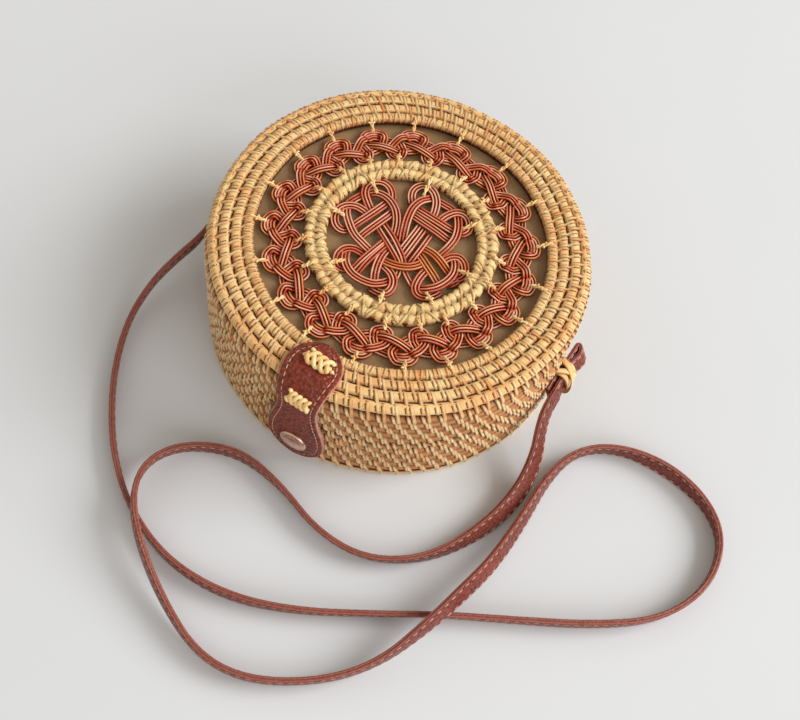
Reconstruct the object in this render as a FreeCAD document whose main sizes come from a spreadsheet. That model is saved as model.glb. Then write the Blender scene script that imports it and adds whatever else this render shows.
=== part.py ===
"""Round coiled-rattan bag: two drum-shaped halves, a hinged lid, a leather snap tab and a shoulder strap.

Millimetres, +Z up. The origin is the middle of the flat underside. The tab is at -Y, the hinge at +Y and
the strap's ends at +X and -X.
"""
import FreeCAD, Part
import math
import os
import Sketcher

doc = FreeCAD.newDocument("circle_bag")

# Driving dimensions
SIZES = [
    ("bag_radius", 100, "outside of the coiled wall"),
    ("base_depth", 34.2, "height of the lower half"),
    ("lid_depth", 42, "height of the upper half"),
    ("seam_gap", 0.5, "between the two halves when closed"),
    ("coil", 5.8, "thickness of one wrapped coil, and so of the wall"),
    ("coil_groove", 1.8, "depth of the groove between two coils of a wall"),
    ("groove_share", 0.3, "half of a groove's width, as a share of a coil's height"),
    ("base_wall_coils", 4, "coils of the lower wall, below its edge coil"),
    ("lid_wall_coils", 5, "coils of the lid's wall, above its edge coil"),
    ("lid_coil_cut", 0.31, "share of the last of them that the rim covers"),
    ("base_rounding", 4.5, "outer lower edge of the back panel"),
    ("rim_rounding", 8, "outer upper edge of the lid"),
    ("rim_flat", 1, "rim coils beyond the rounding, on the face and on the wall"),
    ("face_width", 25, "coiled face, from the outside to the eye"),
    ("eye_coil_width", 6, "closely wrapped coil round the eye"),
    ("lining_thickness", 1, "cloth"),
    ("lining_gap", 0.3, "between the cloth and the coils"),
    ("chain_width", 18.7, "ring of interlaced knots"),
    ("knot_thickness", 4.6, "strands of the knots where they cross"),
    ("outer_loop_share", 0.67, "outer loop of a knot, across, as a share of the ring's width"),
    ("inner_loop_share", 0.6, "inner loop of a knot, across, as a share of the ring's width"),
    ("loop_strand_share", 0.42, "half the height of a loop's band, as a share of the knots' thickness"),
    ("chain_web_share", 0.45, "crossing strands that join the loops, as a share of the knots' thickness"),
    ("chain_web_inset", 2.5, "from the edges of the ring to those strands"),
    ("chain_ties", 19, "ties on each side of the knot ring"),
    ("first_tie_angle", 14.5, "degrees from +X to the first outer tie"),
    ("tie_length", 3, "from the knot ring to the coil on either side"),
    ("tie_diameter", 2.2, "twisted rattan tie"),
    ("tie_gap", 0.2, "between a tie and what it holds"),
    ("leaf_tie_gap", 0.6, "more of that gap at a leaf, whose edge slants to its ties"),
    ("medallion_width", 11.7, "two coils of the inner ring"),
    ("leaf_tie_length", 6, "from a leaf to the inner ring"),
    ("leaf_share", 0.46, "a leaf's radius, as a share of the room inside its ties"),
    ("leaf_room",
     "=bag_radius - face_width - 2 * tie_length - chain_width - medallion_width - leaf_tie_length",
     "radius inside the centre knot's ties"),
    ("leaf_radius", "=leaf_share * leaf_room", "one leaf of the centre knot"),
    ("leaf_angle", 30, "degrees from +X to the middle of the first leaf"),
    ("leaf_tie_spread", 23, "degrees from a leaf's middle to each of its two ties"),
    ("leather", 2.6, "two stitched layers of the tab"),
    ("flap_face_length", 24.7, "tab on the lid's face, inward from the outside"),
    ("flap_width", 29, "tab's upper lobe"),
    ("flap_waist", 22, "tab at its fold"),
    ("flap_end_rounding", 13.5, "corners of the upper lobe"),
    ("flap_standoff", 2.2, "between the wall and the tab, filled by the snap"),
    ("flap_fold_share", 0.6024, "height of the tab's fold on the lid, as a share of the lid's depth"),
    ("flap_fold_rise", "=flap_fold_share * lid_depth", "fold of the tab, above the lid's lower edge"),
    ("flap_clearance", 0.3, "between the tab's fixed and free parts"),
    ("lobe_radius", 15.8, "tab's lower lobe"),
    ("snap_height", 24, "snap, above the underside"),
    ("cap_radius", 7.5, "snap's outer cap"),
    ("cap_dome", 2.2, "height of the cap"),
    ("cap_rounding", 1.5, "edge of the cap"),
    ("post_radius", 1.6, "snap's post"),
    ("post_clearance", 0.1, "round the post"),
    ("post_head_radius", 4.5, "inner head of the post"),
    ("post_head", 1, "thickness of the inner head"),
    ("stud_flange_radius", 5, "stud's flange on the wall"),
    ("stud_flange", 0.5, "thickness of that flange"),
    ("stud_radius", 2, "stud's head"),
    ("socket_radius", 5.6, "outside of the socket"),
    ("socket_clearance", 0.35, "between the stud and the socket"),
    ("knot_rounding", 1, "edges of a lashing"),
    ("lashing_thickness", 2.4, "woven rattan knot"),
    ("upper_knot_length", 15, "across the tab"),
    ("upper_knot_width", 10, "along the tab"),
    ("upper_knot_inset", 14.4, "from the outside of the bag to the knot's middle"),
    ("lower_knot_length", 13.4, "across the tab"),
    ("lower_knot_width", 5, "along the tab"),
    ("lower_knot_rise", 4, "from the fold to the knot's middle"),
    ("strap_width", 10, "shoulder strap"),
    ("strap_thickness", 3, "two stitched layers"),
    ("strap_end_drop", 6.2, "from the lower half's edge to the strap's middle"),
    ("strap_end_front", 12, "from the lashing's middle to where the strap leaves"),
    ("strap_end_back", 10, "from the lashing's middle to the centre of the fold"),
    ("strap_eye_radius", 1.2, "eye inside the fold"),
    ("seat_gap", 0.3, "between the wall and what is lashed to it"),
    ("lashing_length", 12, "strap lashing, along the wall"),
    ("lashing_fit", 0.1, "between the lashing and the strap"),
    ("hinge_width", 30, "leather hinge"),
    ("hinge_leaf", 26, "each leaf, up or down from the seam"),
    ("hinge_rounding", 11, "corners of a leaf"),
    ("hinge_knot_inset", 16, "from the seam to the lashing's middle"),
]

# Strap route between its two straight ends, left end first: X, Y and the height of its middle, laid out
# round a bag of the radius below. Each crossing has a hump with two points at its top.
ROUTE_BAG_RADIUS = 100
STRAP_ROUTE = [
    (-106, -31.5, 26), (-111.5, -43, 20), (-117.5, -59, 11.5), (-117.5, -81, 6.4), (-109.5, -105, 5.3),
    (-97, -128, 5.3), (-79, -152, 5), (-56, -172, 3.6), (-25, -186, 4), (10, -187, 5.3),
    (44, -176, 5.3), (79, -157, 4.6), (107, -141, 3.6), (140, -125, 4.8), (176, -107, 5.3),
    (205, -87, 5.3), (220, -60, 5.3), (219, -33, 5.3), (204, -16, 5.2), (178, -8, 4.5),
    (150, -10, 4.2), (130, -23, 5), (122, -46, 4.8), (121, -75, 4), (118, -105, 6.4),
    (111.5, -130, 10.8), (104, -153, 10.8), (93, -177, 6.6), (74, -198, 5.3), (43, -216, 5.3),
    (15, -218, 5.3), (-15, -204, 6.6), (-42, -184.5, 10.8), (-57, -165.5, 10.8), (-60, -146, 7),
    (-49, -128, 5.4), (-24, -118, 5.3), (4, -123, 5.3), (33, -135, 5.3), (62, -135, 5.3),
    (88, -119, 4.8), (105, -92, 4.2), (113, -66, 6.4), (112.5, -46, 14), (106.2, -31.5, 25),
]
# Straight length of the strap where it leaves each folded end
STRAP_LEAD = 9
# Share of the shorter run beside a corner of the route that its arc takes
ARC_SHARE = 0.45

sheet = doc.addObject("Spreadsheet::Sheet", "Sizes")
for row, (alias, value, note) in enumerate(SIZES, start=1):
    sheet.set(f"A{row}", note)
    sheet.set(f"B{row}", str(value))
    sheet.setAlias(f"B{row}", alias)
doc.recompute()

# Places worked out from the driving dimensions, as expressions on the sheet
R = "Sizes.bag_radius"
COIL = "Sizes.coil"
LID_LOW = "(Sizes.base_depth + Sizes.seam_gap)"
TOP = f"({LID_LOW} + Sizes.lid_depth)"
FACE_LOW = f"({TOP} - {COIL})"
WALL_IN = f"({R} - {COIL})"
LINING_OUT = f"({WALL_IN} - Sizes.lining_gap)"
LINING_IN = f"({LINING_OUT} - Sizes.lining_thickness)"
LINING_TOP = f"({FACE_LOW} - Sizes.lining_gap)"
EYE = f"({R} - Sizes.face_width)"
CHAIN_OUT = f"({EYE} - Sizes.tie_length)"
CHAIN_IN = f"({CHAIN_OUT} - Sizes.chain_width)"
MEDALLION_OUT = f"({CHAIN_IN} - Sizes.tie_length)"
MEDALLION_IN = f"({MEDALLION_OUT} - Sizes.medallion_width)"
LEAF_REACH = "(Sizes.leaf_room - Sizes.leaf_radius)"
RIM = "(Sizes.rim_rounding + Sizes.rim_flat)"
RIM_IN = f"({R} - {RIM})"
RIM_LOW = f"({TOP} - {RIM})"
FLAP_IN = f"({R} + Sizes.flap_standoff)"
FLAP_OUT = f"({FLAP_IN} + Sizes.leather)"
FOLD = f"({LID_LOW} + Sizes.flap_fold_rise)"
STRAP_Z = "(Sizes.base_depth - Sizes.strap_end_drop)"
SEAT = f"({R} + Sizes.seat_gap)"
HINGE_OUT = f"({SEAT} + Sizes.leather)"

nodes = []


def size(alias):
    """Value of one driving dimension."""
    return float(sheet.get(alias))


def keep(piece, label):
    """Give a finished piece its name and list it for export."""
    piece.Label = label
    nodes.append(piece)
    return piece


def new_sketch(body, plane, name):
    """Sketch on one of the body's own origin planes."""
    sketch = body.newObject("Sketcher::SketchObject", f"{body.Name}_{name}")
    support = [feature for feature in body.Origin.OriginFeatures if feature.Role == plane][0]
    sketch.AttachmentSupport = [(support, "")]
    sketch.MapMode = "FlatFace"
    return sketch


def bind(sketch, kind, references, start, expression):
    """Add one dimension to a sketch and tie it to the sheet."""
    index = sketch.addConstraint(Sketcher.Constraint(kind, *references, start))
    sketch.setExpression(f"Constraints[{index}]", expression)


def place_point(sketch, edge, end, x, y):
    """Tie one end of a sketch edge to two expressions measured from the origin."""
    point = sketch.getPoint(edge, end)
    bind(sketch, "DistanceX", (-1, 1, edge, end), point.x, x)
    bind(sketch, "DistanceY", (-1, 1, edge, end), point.y, y)


def polygon(sketch, corners):
    """Closed outline of straight edges through corners given as pairs of expressions."""
    count = len(corners)
    ring = []
    for number in range(count):
        angle = 2 * math.pi * number / count
        ring.append(FreeCAD.Vector(20 + 5 * math.cos(angle), 20 + 5 * math.sin(angle), 0))
    first = sketch.GeometryCount
    for number in range(count):
        sketch.addGeometry(Part.LineSegment(ring[number], ring[(number + 1) % count]), False)
    for number in range(count):
        after = first + (number + 1) % count
        sketch.addConstraint(Sketcher.Constraint("Coincident", first + number, 2, after, 1))
    for number, (x, y) in enumerate(corners):
        place_point(sketch, first + number, 1, x, y)


def box_corners(left, right, low, high):
    """Corners of an upright rectangle."""
    return [(left, low), (right, low), (right, high), (left, high)]


def revolved(label, corners):
    """Solid of revolution about Z, from a profile in X (radius) and Z."""
    body = doc.addObject("PartDesign::Body", label)
    sketch = new_sketch(body, "XZ_Plane", "profile")
    polygon(sketch, corners)
    turned = body.newObject("PartDesign::Revolution", f"{label}_turn")
    turned.Profile = sketch
    turned.ReferenceAxis = (sketch, ["V_Axis"])
    turned.Angle = 360
    doc.recompute()
    return body


def ring(label, inner, outer, low, high):
    """Plain ring round the bag's axis."""
    return revolved(label, box_corners(inner, outer, low, high))


def coiled_ring(label, low, pitch, rows, high=None):
    """Ring of stacked coils with a groove between each two; the last coil may be cut off at a height."""
    groove = f"({R} - Sizes.coil_groove)"
    top = high or f"({low} + {rows} * {pitch})"
    corners = [(WALL_IN, low)]
    for number in range(rows):
        start = f"({low} + {number} * {pitch})"
        corners.append((groove, start))
        corners.append((R, f"({start} + Sizes.groove_share * {pitch})"))
        if number < rows - 1 or not high:
            corners.append((R, f"({start} + (1 - Sizes.groove_share) * {pitch})"))
    corners.append((R, top) if high else (groove, top))
    corners.append((WALL_IN, top))
    return revolved(label, corners)


def fillet(body, radius, chosen):
    """Round the edges of the body's tip that the test picks."""
    tip = body.Tip
    names = [f"Edge{i}" for i, edge in enumerate(tip.Shape.Edges, start=1) if chosen(edge)]
    rounded = body.newObject("PartDesign::Fillet", f"{body.Name}_rounding")
    rounded.Base = (tip, names)
    rounded.setExpression("Radius", radius)
    doc.recompute()


def pad(body, sketch, length, symmetric=False, reverse=False):
    """Pad a sketch by an expression."""
    padded = body.newObject("PartDesign::Pad", f"{body.Name}_pad")
    padded.Profile = sketch
    padded.SideType = "Symmetric" if symmetric else "One side"
    padded.Reversed = reverse
    padded.setExpression("Length", length)
    doc.recompute()


def move(piece, x=None, y=None, z=None):
    """Tie a piece's place to the sheet."""
    for axis, expression in (("x", x), ("y", y), ("z", z)):
        if expression is not None:
            piece.setExpression(f"Placement.Base.{axis}", expression)


def cylinder(name, radius, height):
    """Upright cylinder on the origin."""
    piece = doc.addObject("Part::Cylinder", name)
    piece.setExpression("Radius", radius)
    piece.setExpression("Height", height)
    return piece


def cross_cylinder(name, radius, near, far, z, forward=True):
    """Cylinder along Y from near to far, both measured outward from the axis, at the front by default."""
    piece = cylinder(name, radius, f"{far} - {near}")
    piece.Placement.Rotation = FreeCAD.Rotation(FreeCAD.Vector(1, 0, 0), 90 if forward else -90)
    move(piece, y=f"-{near}" if forward else near, z=z)
    return piece


def cut(label, base, tool):
    """One piece cut by another."""
    piece = doc.addObject("Part::Cut", label)
    piece.Base = base
    piece.Tool = tool
    return piece


def compound(label, pieces):
    """Several like solids in one node."""
    group = doc.addObject("Part::Compound", label)
    group.Links = pieces
    return group


def knot(label, length, width, rotation, x=None, y=None, z=None):
    """Woven knot of a lashing: a rounded block that stands on what it binds."""
    body = doc.addObject("PartDesign::Body", label)
    sketch = new_sketch(body, "XY_Plane", "outline")
    polygon(sketch, box_corners(f"-{length} / 2", f"{length} / 2", f"-{width} / 2", f"{width} / 2"))
    pad(body, sketch, "Sizes.lashing_thickness")
    top = body.Tip.Shape.BoundBox.ZMax
    fillet(body, "Sizes.knot_rounding", lambda edge: edge.BoundBox.ZMin > top - 0.01)
    body.Placement.Rotation = rotation
    move(body, x, y, z)
    return keep(body, label)


FACING_FRONT = FreeCAD.Rotation(FreeCAD.Vector(1, 0, 0), 90)
FACING_BACK = FreeCAD.Rotation(FreeCAD.Vector(1, 0, 0), -90)
FACING_UP = FreeCAD.Rotation()


# Lower half
panel = ring("base_panel", "0", R, "0", COIL)
fillet(panel, "Sizes.base_rounding",
       lambda edge: edge.BoundBox.ZMax < 0.01 and edge.BoundBox.XMax > size("bag_radius") - 0.01)
keep(panel, "base_panel")

base_coils = int(size("base_wall_coils"))
wall = coiled_ring("base_wall_blank", COIL, f"((Sizes.base_depth - 2 * {COIL}) / {base_coils})", base_coils)
wall_hole = cross_cylinder("base_wall_hole", "Sizes.post_radius + Sizes.post_clearance",
                           f"({WALL_IN} - {COIL})", f"({R} + {COIL})", "Sizes.snap_height")
keep(cut("base_wall_drilled", wall, wall_hole), "base_wall")

edge = coiled_ring("base_edge", f"(Sizes.base_depth - {COIL})", COIL, 1)
edge_hole = cross_cylinder("base_edge_hole", "Sizes.post_radius + Sizes.post_clearance",
                           f"({WALL_IN} - {COIL})", f"({R} + {COIL})", "Sizes.snap_height")
keep(cut("base_edge_drilled", edge, edge_hole), "base_edge_coil")

BASE_LINING_TOP = f"({COIL} + Sizes.lining_thickness)"
keep(ring("base_cloth_panel", "0", LINING_OUT, COIL, BASE_LINING_TOP), "base_lining_panel")
lining = ring("base_cloth_wall", LINING_IN, LINING_OUT, BASE_LINING_TOP, "Sizes.base_depth")
lining_hole = cross_cylinder("base_lining_hole", "Sizes.post_radius + Sizes.post_clearance",
                             f"({LINING_IN} - {COIL})", f"({LINING_OUT} + {COIL})", "Sizes.snap_height")
keep(cut("base_lining_drilled", lining, lining_hole), "base_lining_wall")

# Snap on the lower half: the stud's flange sits on the wall, the post's head on the cloth
POST_HEAD_OUT = f"({LINING_IN} - Sizes.lining_gap)"
post_shaft = cross_cylinder("post_shaft", "Sizes.post_radius", POST_HEAD_OUT, R, "Sizes.snap_height")
post_head = cross_cylinder("post_head", "Sizes.post_head_radius", f"({POST_HEAD_OUT} - Sizes.post_head)",
                           POST_HEAD_OUT, "Sizes.snap_height")
post = doc.addObject("Part::Fuse", "post")
post.Base = post_head
post.Tool = post_shaft
keep(post, "snap_post")

STUD_FLANGE_OUT = f"({R} + Sizes.stud_flange)"
stud_flange = cross_cylinder("stud_flange_disc", "Sizes.stud_flange_radius", R, STUD_FLANGE_OUT,
                             "Sizes.snap_height")
stud_head = cross_cylinder("stud_head", "Sizes.stud_radius", STUD_FLANGE_OUT,
                           f"({FLAP_IN} - Sizes.socket_clearance)", "Sizes.snap_height")
stud = doc.addObject("Part::Fuse", "stud")
stud.Base = stud_flange
stud.Tool = stud_head
keep(stud, "snap_stud")

# Upper half
keep(coiled_ring("lid_edge", LID_LOW, COIL, 1), "lid_edge_coil")
LID_WALL_LOW = f"({LID_LOW} + {COIL})"
LID_PITCH = f"(({RIM_LOW} - {LID_WALL_LOW}) / (Sizes.lid_wall_coils - Sizes.lid_coil_cut))"
keep(coiled_ring("lid_side", LID_WALL_LOW, LID_PITCH, int(size("lid_wall_coils")), RIM_LOW), "lid_wall")
rim = revolved("lid_corner", [(WALL_IN, RIM_LOW), (R, RIM_LOW), (R, TOP), (RIM_IN, TOP), (RIM_IN, FACE_LOW),
                              (WALL_IN, FACE_LOW)])
rim_top = rim.Tip.Shape.BoundBox.ZMax
fillet(rim, "Sizes.rim_rounding",
       lambda edge: edge.BoundBox.ZMin > rim_top - 0.01 and edge.BoundBox.XMax > size("bag_radius") - 0.01)
keep(rim, "lid_rim")
EYE_COIL_OUT = f"({EYE} + Sizes.eye_coil_width)"
keep(ring("lid_face", EYE_COIL_OUT, RIM_IN, FACE_LOW, TOP), "lid_face_ring")
keep(ring("lid_eye", EYE, EYE_COIL_OUT, FACE_LOW, TOP), "lid_eye_coil")

LID_LINING_LOW = f"({LINING_TOP} - Sizes.lining_thickness)"
keep(ring("lid_cloth_panel", "0", LINING_OUT, LID_LINING_LOW, LINING_TOP), "lid_lining_panel")
keep(ring("lid_cloth_wall", LINING_IN, LINING_OUT, LID_LOW, LID_LINING_LOW), "lid_lining_wall")

# Knotted decoration of the eye, lying on the lining
KNOT_TOP = f"({LINING_TOP} + Sizes.knot_thickness)"
KNOT_MIDDLE = f"({LINING_TOP} + Sizes.knot_thickness / 2)"
tie_count = int(size("chain_ties"))
half_step = 180 / tie_count
STRAND = "(Sizes.loop_strand_share * Sizes.knot_thickness)"
OUTER_LOOP = "(Sizes.outer_loop_share * Sizes.chain_width / 2)"
INNER_LOOP = "(Sizes.inner_loop_share * Sizes.chain_width / 2)"


def loop(name, radius, reach, angle):
    """One round loop of a knot: its outer radius, how far it is from the axis, and where, in degrees."""
    piece = doc.addObject("Part::Torus", name)
    piece.setExpression("Radius1", f"{radius} - {STRAND}")
    piece.setExpression("Radius2", STRAND)
    move(piece, f"{reach} * cos({angle} deg)", f"{reach} * sin({angle} deg)", f"({KNOT_TOP} - {STRAND})")
    return piece


web = ring("chain_web", f"({CHAIN_IN} + Sizes.chain_web_inset)", f"({CHAIN_OUT} - Sizes.chain_web_inset)",
           LINING_TOP, f"({LINING_TOP} + Sizes.chain_web_share * Sizes.knot_thickness)")
loops = [web]
for number in range(tie_count):
    turn = size("first_tie_angle") + 360 * number / tie_count
    loops.append(loop(f"outer_loop_{number}", OUTER_LOOP, f"({CHAIN_OUT} - {OUTER_LOOP})", turn))
    loops.append(loop(f"inner_loop_{number}", INNER_LOOP, f"({CHAIN_IN} + {INNER_LOOP})", turn + half_step))
chain = doc.addObject("Part::MultiFuse", "chain")
chain.Shapes = loops
keep(chain, "knot_chain")
keep(ring("medallion", MEDALLION_IN, MEDALLION_OUT, LINING_TOP, f"({LINING_TOP} + {COIL})"), "medallion_ring")

leaves = []
LEAVES = 4
for number in range(LEAVES):
    leaf = cylinder(f"leaf_{number}", "Sizes.leaf_radius", "Sizes.knot_thickness")
    leaf_turn = f"((Sizes.leaf_angle + 360 / {LEAVES} * {number}) * 1 deg)"
    move(leaf, f"{LEAF_REACH} * cos{leaf_turn}", f"{LEAF_REACH} * sin{leaf_turn}", LINING_TOP)
    leaves.append(leaf)
leaf_knot = doc.addObject("Part::MultiFuse", "leaf_knot")
leaf_knot.Shapes = leaves
keep(leaf_knot, "centre_knot")


def tie(name, near, far, angle):
    """Short radial tie between two radii, at an angle in degrees."""
    piece = cylinder(name, "Sizes.tie_diameter / 2", f"{far} - {near} - 2 * Sizes.tie_gap")
    flat = FreeCAD.Rotation(FreeCAD.Vector(0, 1, 0), 90)
    piece.Placement.Rotation = FreeCAD.Rotation(FreeCAD.Vector(0, 0, 1), angle).multiply(flat)
    start = f"({near} + Sizes.tie_gap)"
    move(piece, f"{start} * cos({angle} deg)", f"{start} * sin({angle} deg)", KNOT_MIDDLE)
    return piece


outer_ties = []
inner_ties = []
for number in range(tie_count):
    turn = size("first_tie_angle") + 360 * number / tie_count
    outer_ties.append(tie(f"outer_tie_{number}", CHAIN_OUT, EYE, turn))
    inner_ties.append(tie(f"inner_tie_{number}", MEDALLION_OUT, CHAIN_IN, turn + half_step))
keep(compound("outer_tie_group", outer_ties), "outer_ties")
keep(compound("inner_tie_group", inner_ties), "inner_ties")

LEAF_EDGE = (f"({LEAF_REACH} * cos(Sizes.leaf_tie_spread * 1 deg) + sqrt(pow(Sizes.leaf_radius; 2)"
             f" - pow({LEAF_REACH} * sin(Sizes.leaf_tie_spread * 1 deg); 2)))")
centre_ties = []
for number in range(LEAVES):
    for side in (-1, 1):
        turn = size("leaf_angle") + 360 / LEAVES * number + side * size("leaf_tie_spread")
        leaf_end = f"({LEAF_EDGE} + Sizes.leaf_tie_gap)"
        centre_ties.append(tie(f"centre_tie_{len(centre_ties)}", leaf_end, MEDALLION_IN, turn))
keep(compound("centre_tie_group", centre_ties), "centre_ties")

# Tab: the part fixed to the lid bends over the rim and narrows to the fold
root = doc.addObject("PartDesign::Body", "flap_root_body")
band = new_sketch(root, "YZ_Plane", "band")
BEND_IN = "(Sizes.rim_rounding + Sizes.flap_standoff)"
bend_y = f"-({FLAP_IN} - {BEND_IN})"
bend_z = f"({TOP} - {BEND_IN})"
face_end = f"-({R} - Sizes.flap_face_length)"
root_low = f"({FOLD} + Sizes.flap_clearance)"
quarter = math.pi / 2
inner_bend = Part.ArcOfCircle(Part.Circle(FreeCAD.Vector(-90, 66, 0), FreeCAD.Vector(0, 0, 1), 10),
                              quarter, 2 * quarter)
outer_bend = Part.ArcOfCircle(Part.Circle(FreeCAD.Vector(-90, 66, 0), FreeCAD.Vector(0, 0, 1), 13),
                              quarter, 2 * quarter)
flat_points = [FreeCAD.Vector(-75, 76, 0), FreeCAD.Vector(-90, 76, 0)]
side_points = [FreeCAD.Vector(-100, 66, 0), FreeCAD.Vector(-100, 60, 0), FreeCAD.Vector(-103, 60, 0),
               FreeCAD.Vector(-103, 66, 0)]
top_points = [FreeCAD.Vector(-90, 79, 0), FreeCAD.Vector(-75, 79, 0)]
under_face = band.addGeometry(Part.LineSegment(*flat_points), False)
inner_arc = band.addGeometry(inner_bend, False)
inner_side = band.addGeometry(Part.LineSegment(side_points[0], side_points[1]), False)
low_end = band.addGeometry(Part.LineSegment(side_points[1], side_points[2]), False)
outer_side = band.addGeometry(Part.LineSegment(side_points[2], side_points[3]), False)
outer_arc = band.addGeometry(outer_bend, False)
over_face = band.addGeometry(Part.LineSegment(*top_points), False)
far_end = band.addGeometry(Part.LineSegment(top_points[1], flat_points[0]), False)
for one, one_end, other, other_end in ((under_face, 2, inner_arc, 1), (inner_arc, 2, inner_side, 1),
                                       (inner_side, 2, low_end, 1), (low_end, 2, outer_side, 1),
                                       (outer_side, 2, outer_arc, 2), (outer_arc, 1, over_face, 1),
                                       (over_face, 2, far_end, 1), (far_end, 2, under_face, 1)):
    band.addConstraint(Sketcher.Constraint("Coincident", one, one_end, other, other_end))
place_point(band, under_face, 1, face_end, TOP)
place_point(band, under_face, 2, bend_y, TOP)
place_point(band, inner_side, 1, f"-{FLAP_IN}", bend_z)
place_point(band, inner_side, 2, f"-{FLAP_IN}", root_low)
place_point(band, low_end, 2, f"-{FLAP_OUT}", root_low)
place_point(band, outer_side, 2, f"-{FLAP_OUT}", bend_z)
place_point(band, over_face, 1, bend_y, f"({TOP} + Sizes.leather)")
place_point(band, over_face, 2, face_end, f"({TOP} + Sizes.leather)")
bind(band, "DistanceX", (-1, 1, inner_arc, 3), -90, bend_y)
bind(band, "DistanceX", (-1, 1, outer_arc, 3), -90, bend_y)
pad(root, band, "Sizes.flap_width", symmetric=True)
root_end = root.Tip.Shape.BoundBox.YMax
fillet(root, "Sizes.flap_end_rounding",
       lambda edge: edge.BoundBox.YMin > root_end - 0.01 and edge.BoundBox.XLength < 0.01)

waist = new_sketch(root, "XZ_Plane", "waist")
for side in ("", "-"):
    polygon(waist, [(f"{side}Sizes.flap_width", bend_z), (f"{side}Sizes.flap_width / 2", bend_z),
                    (f"{side}Sizes.flap_waist / 2", root_low), (f"{side}Sizes.flap_waist / 2", FOLD),
                    (f"{side}Sizes.flap_width", FOLD)])
before_waist = root.Tip.Shape.Volume
waist_cut = root.newObject("PartDesign::Pocket", "flap_waist_cut")
waist_cut.Profile = waist
waist_cut.Type = "ThroughAll"
waist_cut.Reversed = True
doc.recompute()
if root.Tip.Shape.Volume >= before_waist:
    raise RuntimeError("the waist of the tab was not cut")
keep(root, "flap_root")

# Tab: the free part, a tapered tongue that ends in a round lobe about the snap
tongue = doc.addObject("PartDesign::Body", "flap_tongue_body")
outline = new_sketch(tongue, "XZ_Plane", "outline")
fold_z = size("base_depth") + size("seam_gap") + size("flap_fold_rise")
lobe_middle = FreeCAD.Vector(0, size("snap_height"), 0)
lobe = Part.ArcOfCircle(Part.Circle(lobe_middle, FreeCAD.Vector(0, 0, 1), size("lobe_radius")),
                        math.pi, 2 * math.pi)
left_top = FreeCAD.Vector(-size("flap_waist") / 2, fold_z, 0)
right_top = FreeCAD.Vector(size("flap_waist") / 2, fold_z, 0)
lobe_left = lobe_middle - FreeCAD.Vector(size("lobe_radius"), 0, 0)
lobe_right = lobe_middle + FreeCAD.Vector(size("lobe_radius"), 0, 0)
lobe_arc = outline.addGeometry(lobe, False)
right_edge = outline.addGeometry(Part.LineSegment(lobe_right, right_top), False)
fold_edge = outline.addGeometry(Part.LineSegment(right_top, left_top), False)
left_edge = outline.addGeometry(Part.LineSegment(left_top, lobe_left), False)
outline.addConstraint(Sketcher.Constraint("Coincident", right_edge, 2, fold_edge, 1))
outline.addConstraint(Sketcher.Constraint("Coincident", fold_edge, 2, left_edge, 1))
outline.addConstraint(Sketcher.Constraint("Tangent", lobe_arc, 2, right_edge, 1))
outline.addConstraint(Sketcher.Constraint("Tangent", lobe_arc, 1, left_edge, 2))
bind(outline, "DistanceX", (-1, 1, lobe_arc, 3), 0, "0")
bind(outline, "DistanceY", (-1, 1, lobe_arc, 3), size("snap_height"), "Sizes.snap_height")
bind(outline, "Radius", (lobe_arc,), size("lobe_radius"), "Sizes.lobe_radius")
place_point(outline, fold_edge, 1, "Sizes.flap_waist / 2", FOLD)
place_point(outline, fold_edge, 2, "-Sizes.flap_waist / 2", FOLD)
pad(tongue, outline, "Sizes.leather")
move(tongue, y=f"-{FLAP_IN}")
tongue_hole = cross_cylinder("tongue_hole", "Sizes.post_radius + Sizes.post_clearance",
                             f"({FLAP_IN} - {COIL})", f"({FLAP_OUT} + {COIL})", "Sizes.snap_height")
keep(cut("flap_tongue_drilled", tongue, tongue_hole), "flap_tongue")

# Snap on the tab: a domed cap with its stem through the leather, and the socket behind
cap = doc.addObject("PartDesign::Body", "snap_cap_body")
cap_profile = new_sketch(cap, "XZ_Plane", "profile")
polygon(cap_profile, [("0", "-Sizes.leather"), ("Sizes.post_radius", "-Sizes.leather"),
                      ("Sizes.post_radius", "0"), ("Sizes.cap_radius", "0"),
                      ("Sizes.cap_radius", "Sizes.cap_dome"), ("0", "Sizes.cap_dome")])
cap_turn = cap.newObject("PartDesign::Revolution", "snap_cap_turn")
cap_turn.Profile = cap_profile
cap_turn.ReferenceAxis = (cap_profile, ["V_Axis"])
cap_turn.Angle = 360
doc.recompute()
cap_top = cap.Tip.Shape.BoundBox.ZMax
fillet(cap, "Sizes.cap_rounding", lambda edge: edge.BoundBox.ZMin > cap_top - 0.01)
cap.Placement.Rotation = FACING_FRONT
move(cap, y=f"-{FLAP_OUT}", z="Sizes.snap_height")
keep(cap, "snap_cap")

socket_near = f"({STUD_FLANGE_OUT} + Sizes.socket_clearance)"
socket_disc = cross_cylinder("socket_disc", "Sizes.socket_radius", socket_near, FLAP_IN, "Sizes.snap_height")
socket_bore = cross_cylinder("socket_bore", "Sizes.stud_radius + Sizes.socket_clearance", R, FLAP_OUT,
                             "Sizes.snap_height")
keep(cut("socket_ring", socket_disc, socket_bore), "snap_socket")

# Rattan knots that hold the tab
knot("flap_lashing_upper", "Sizes.upper_knot_length", "Sizes.upper_knot_width", FACING_UP,
     y=f"-({R} - Sizes.upper_knot_inset)", z=f"({TOP} + Sizes.leather)")
knot("flap_lashing_lower", "Sizes.lower_knot_length", "Sizes.lower_knot_width", FACING_FRONT,
     y=f"-{FLAP_OUT}", z=f"({FOLD} + Sizes.lower_knot_rise)")


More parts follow.
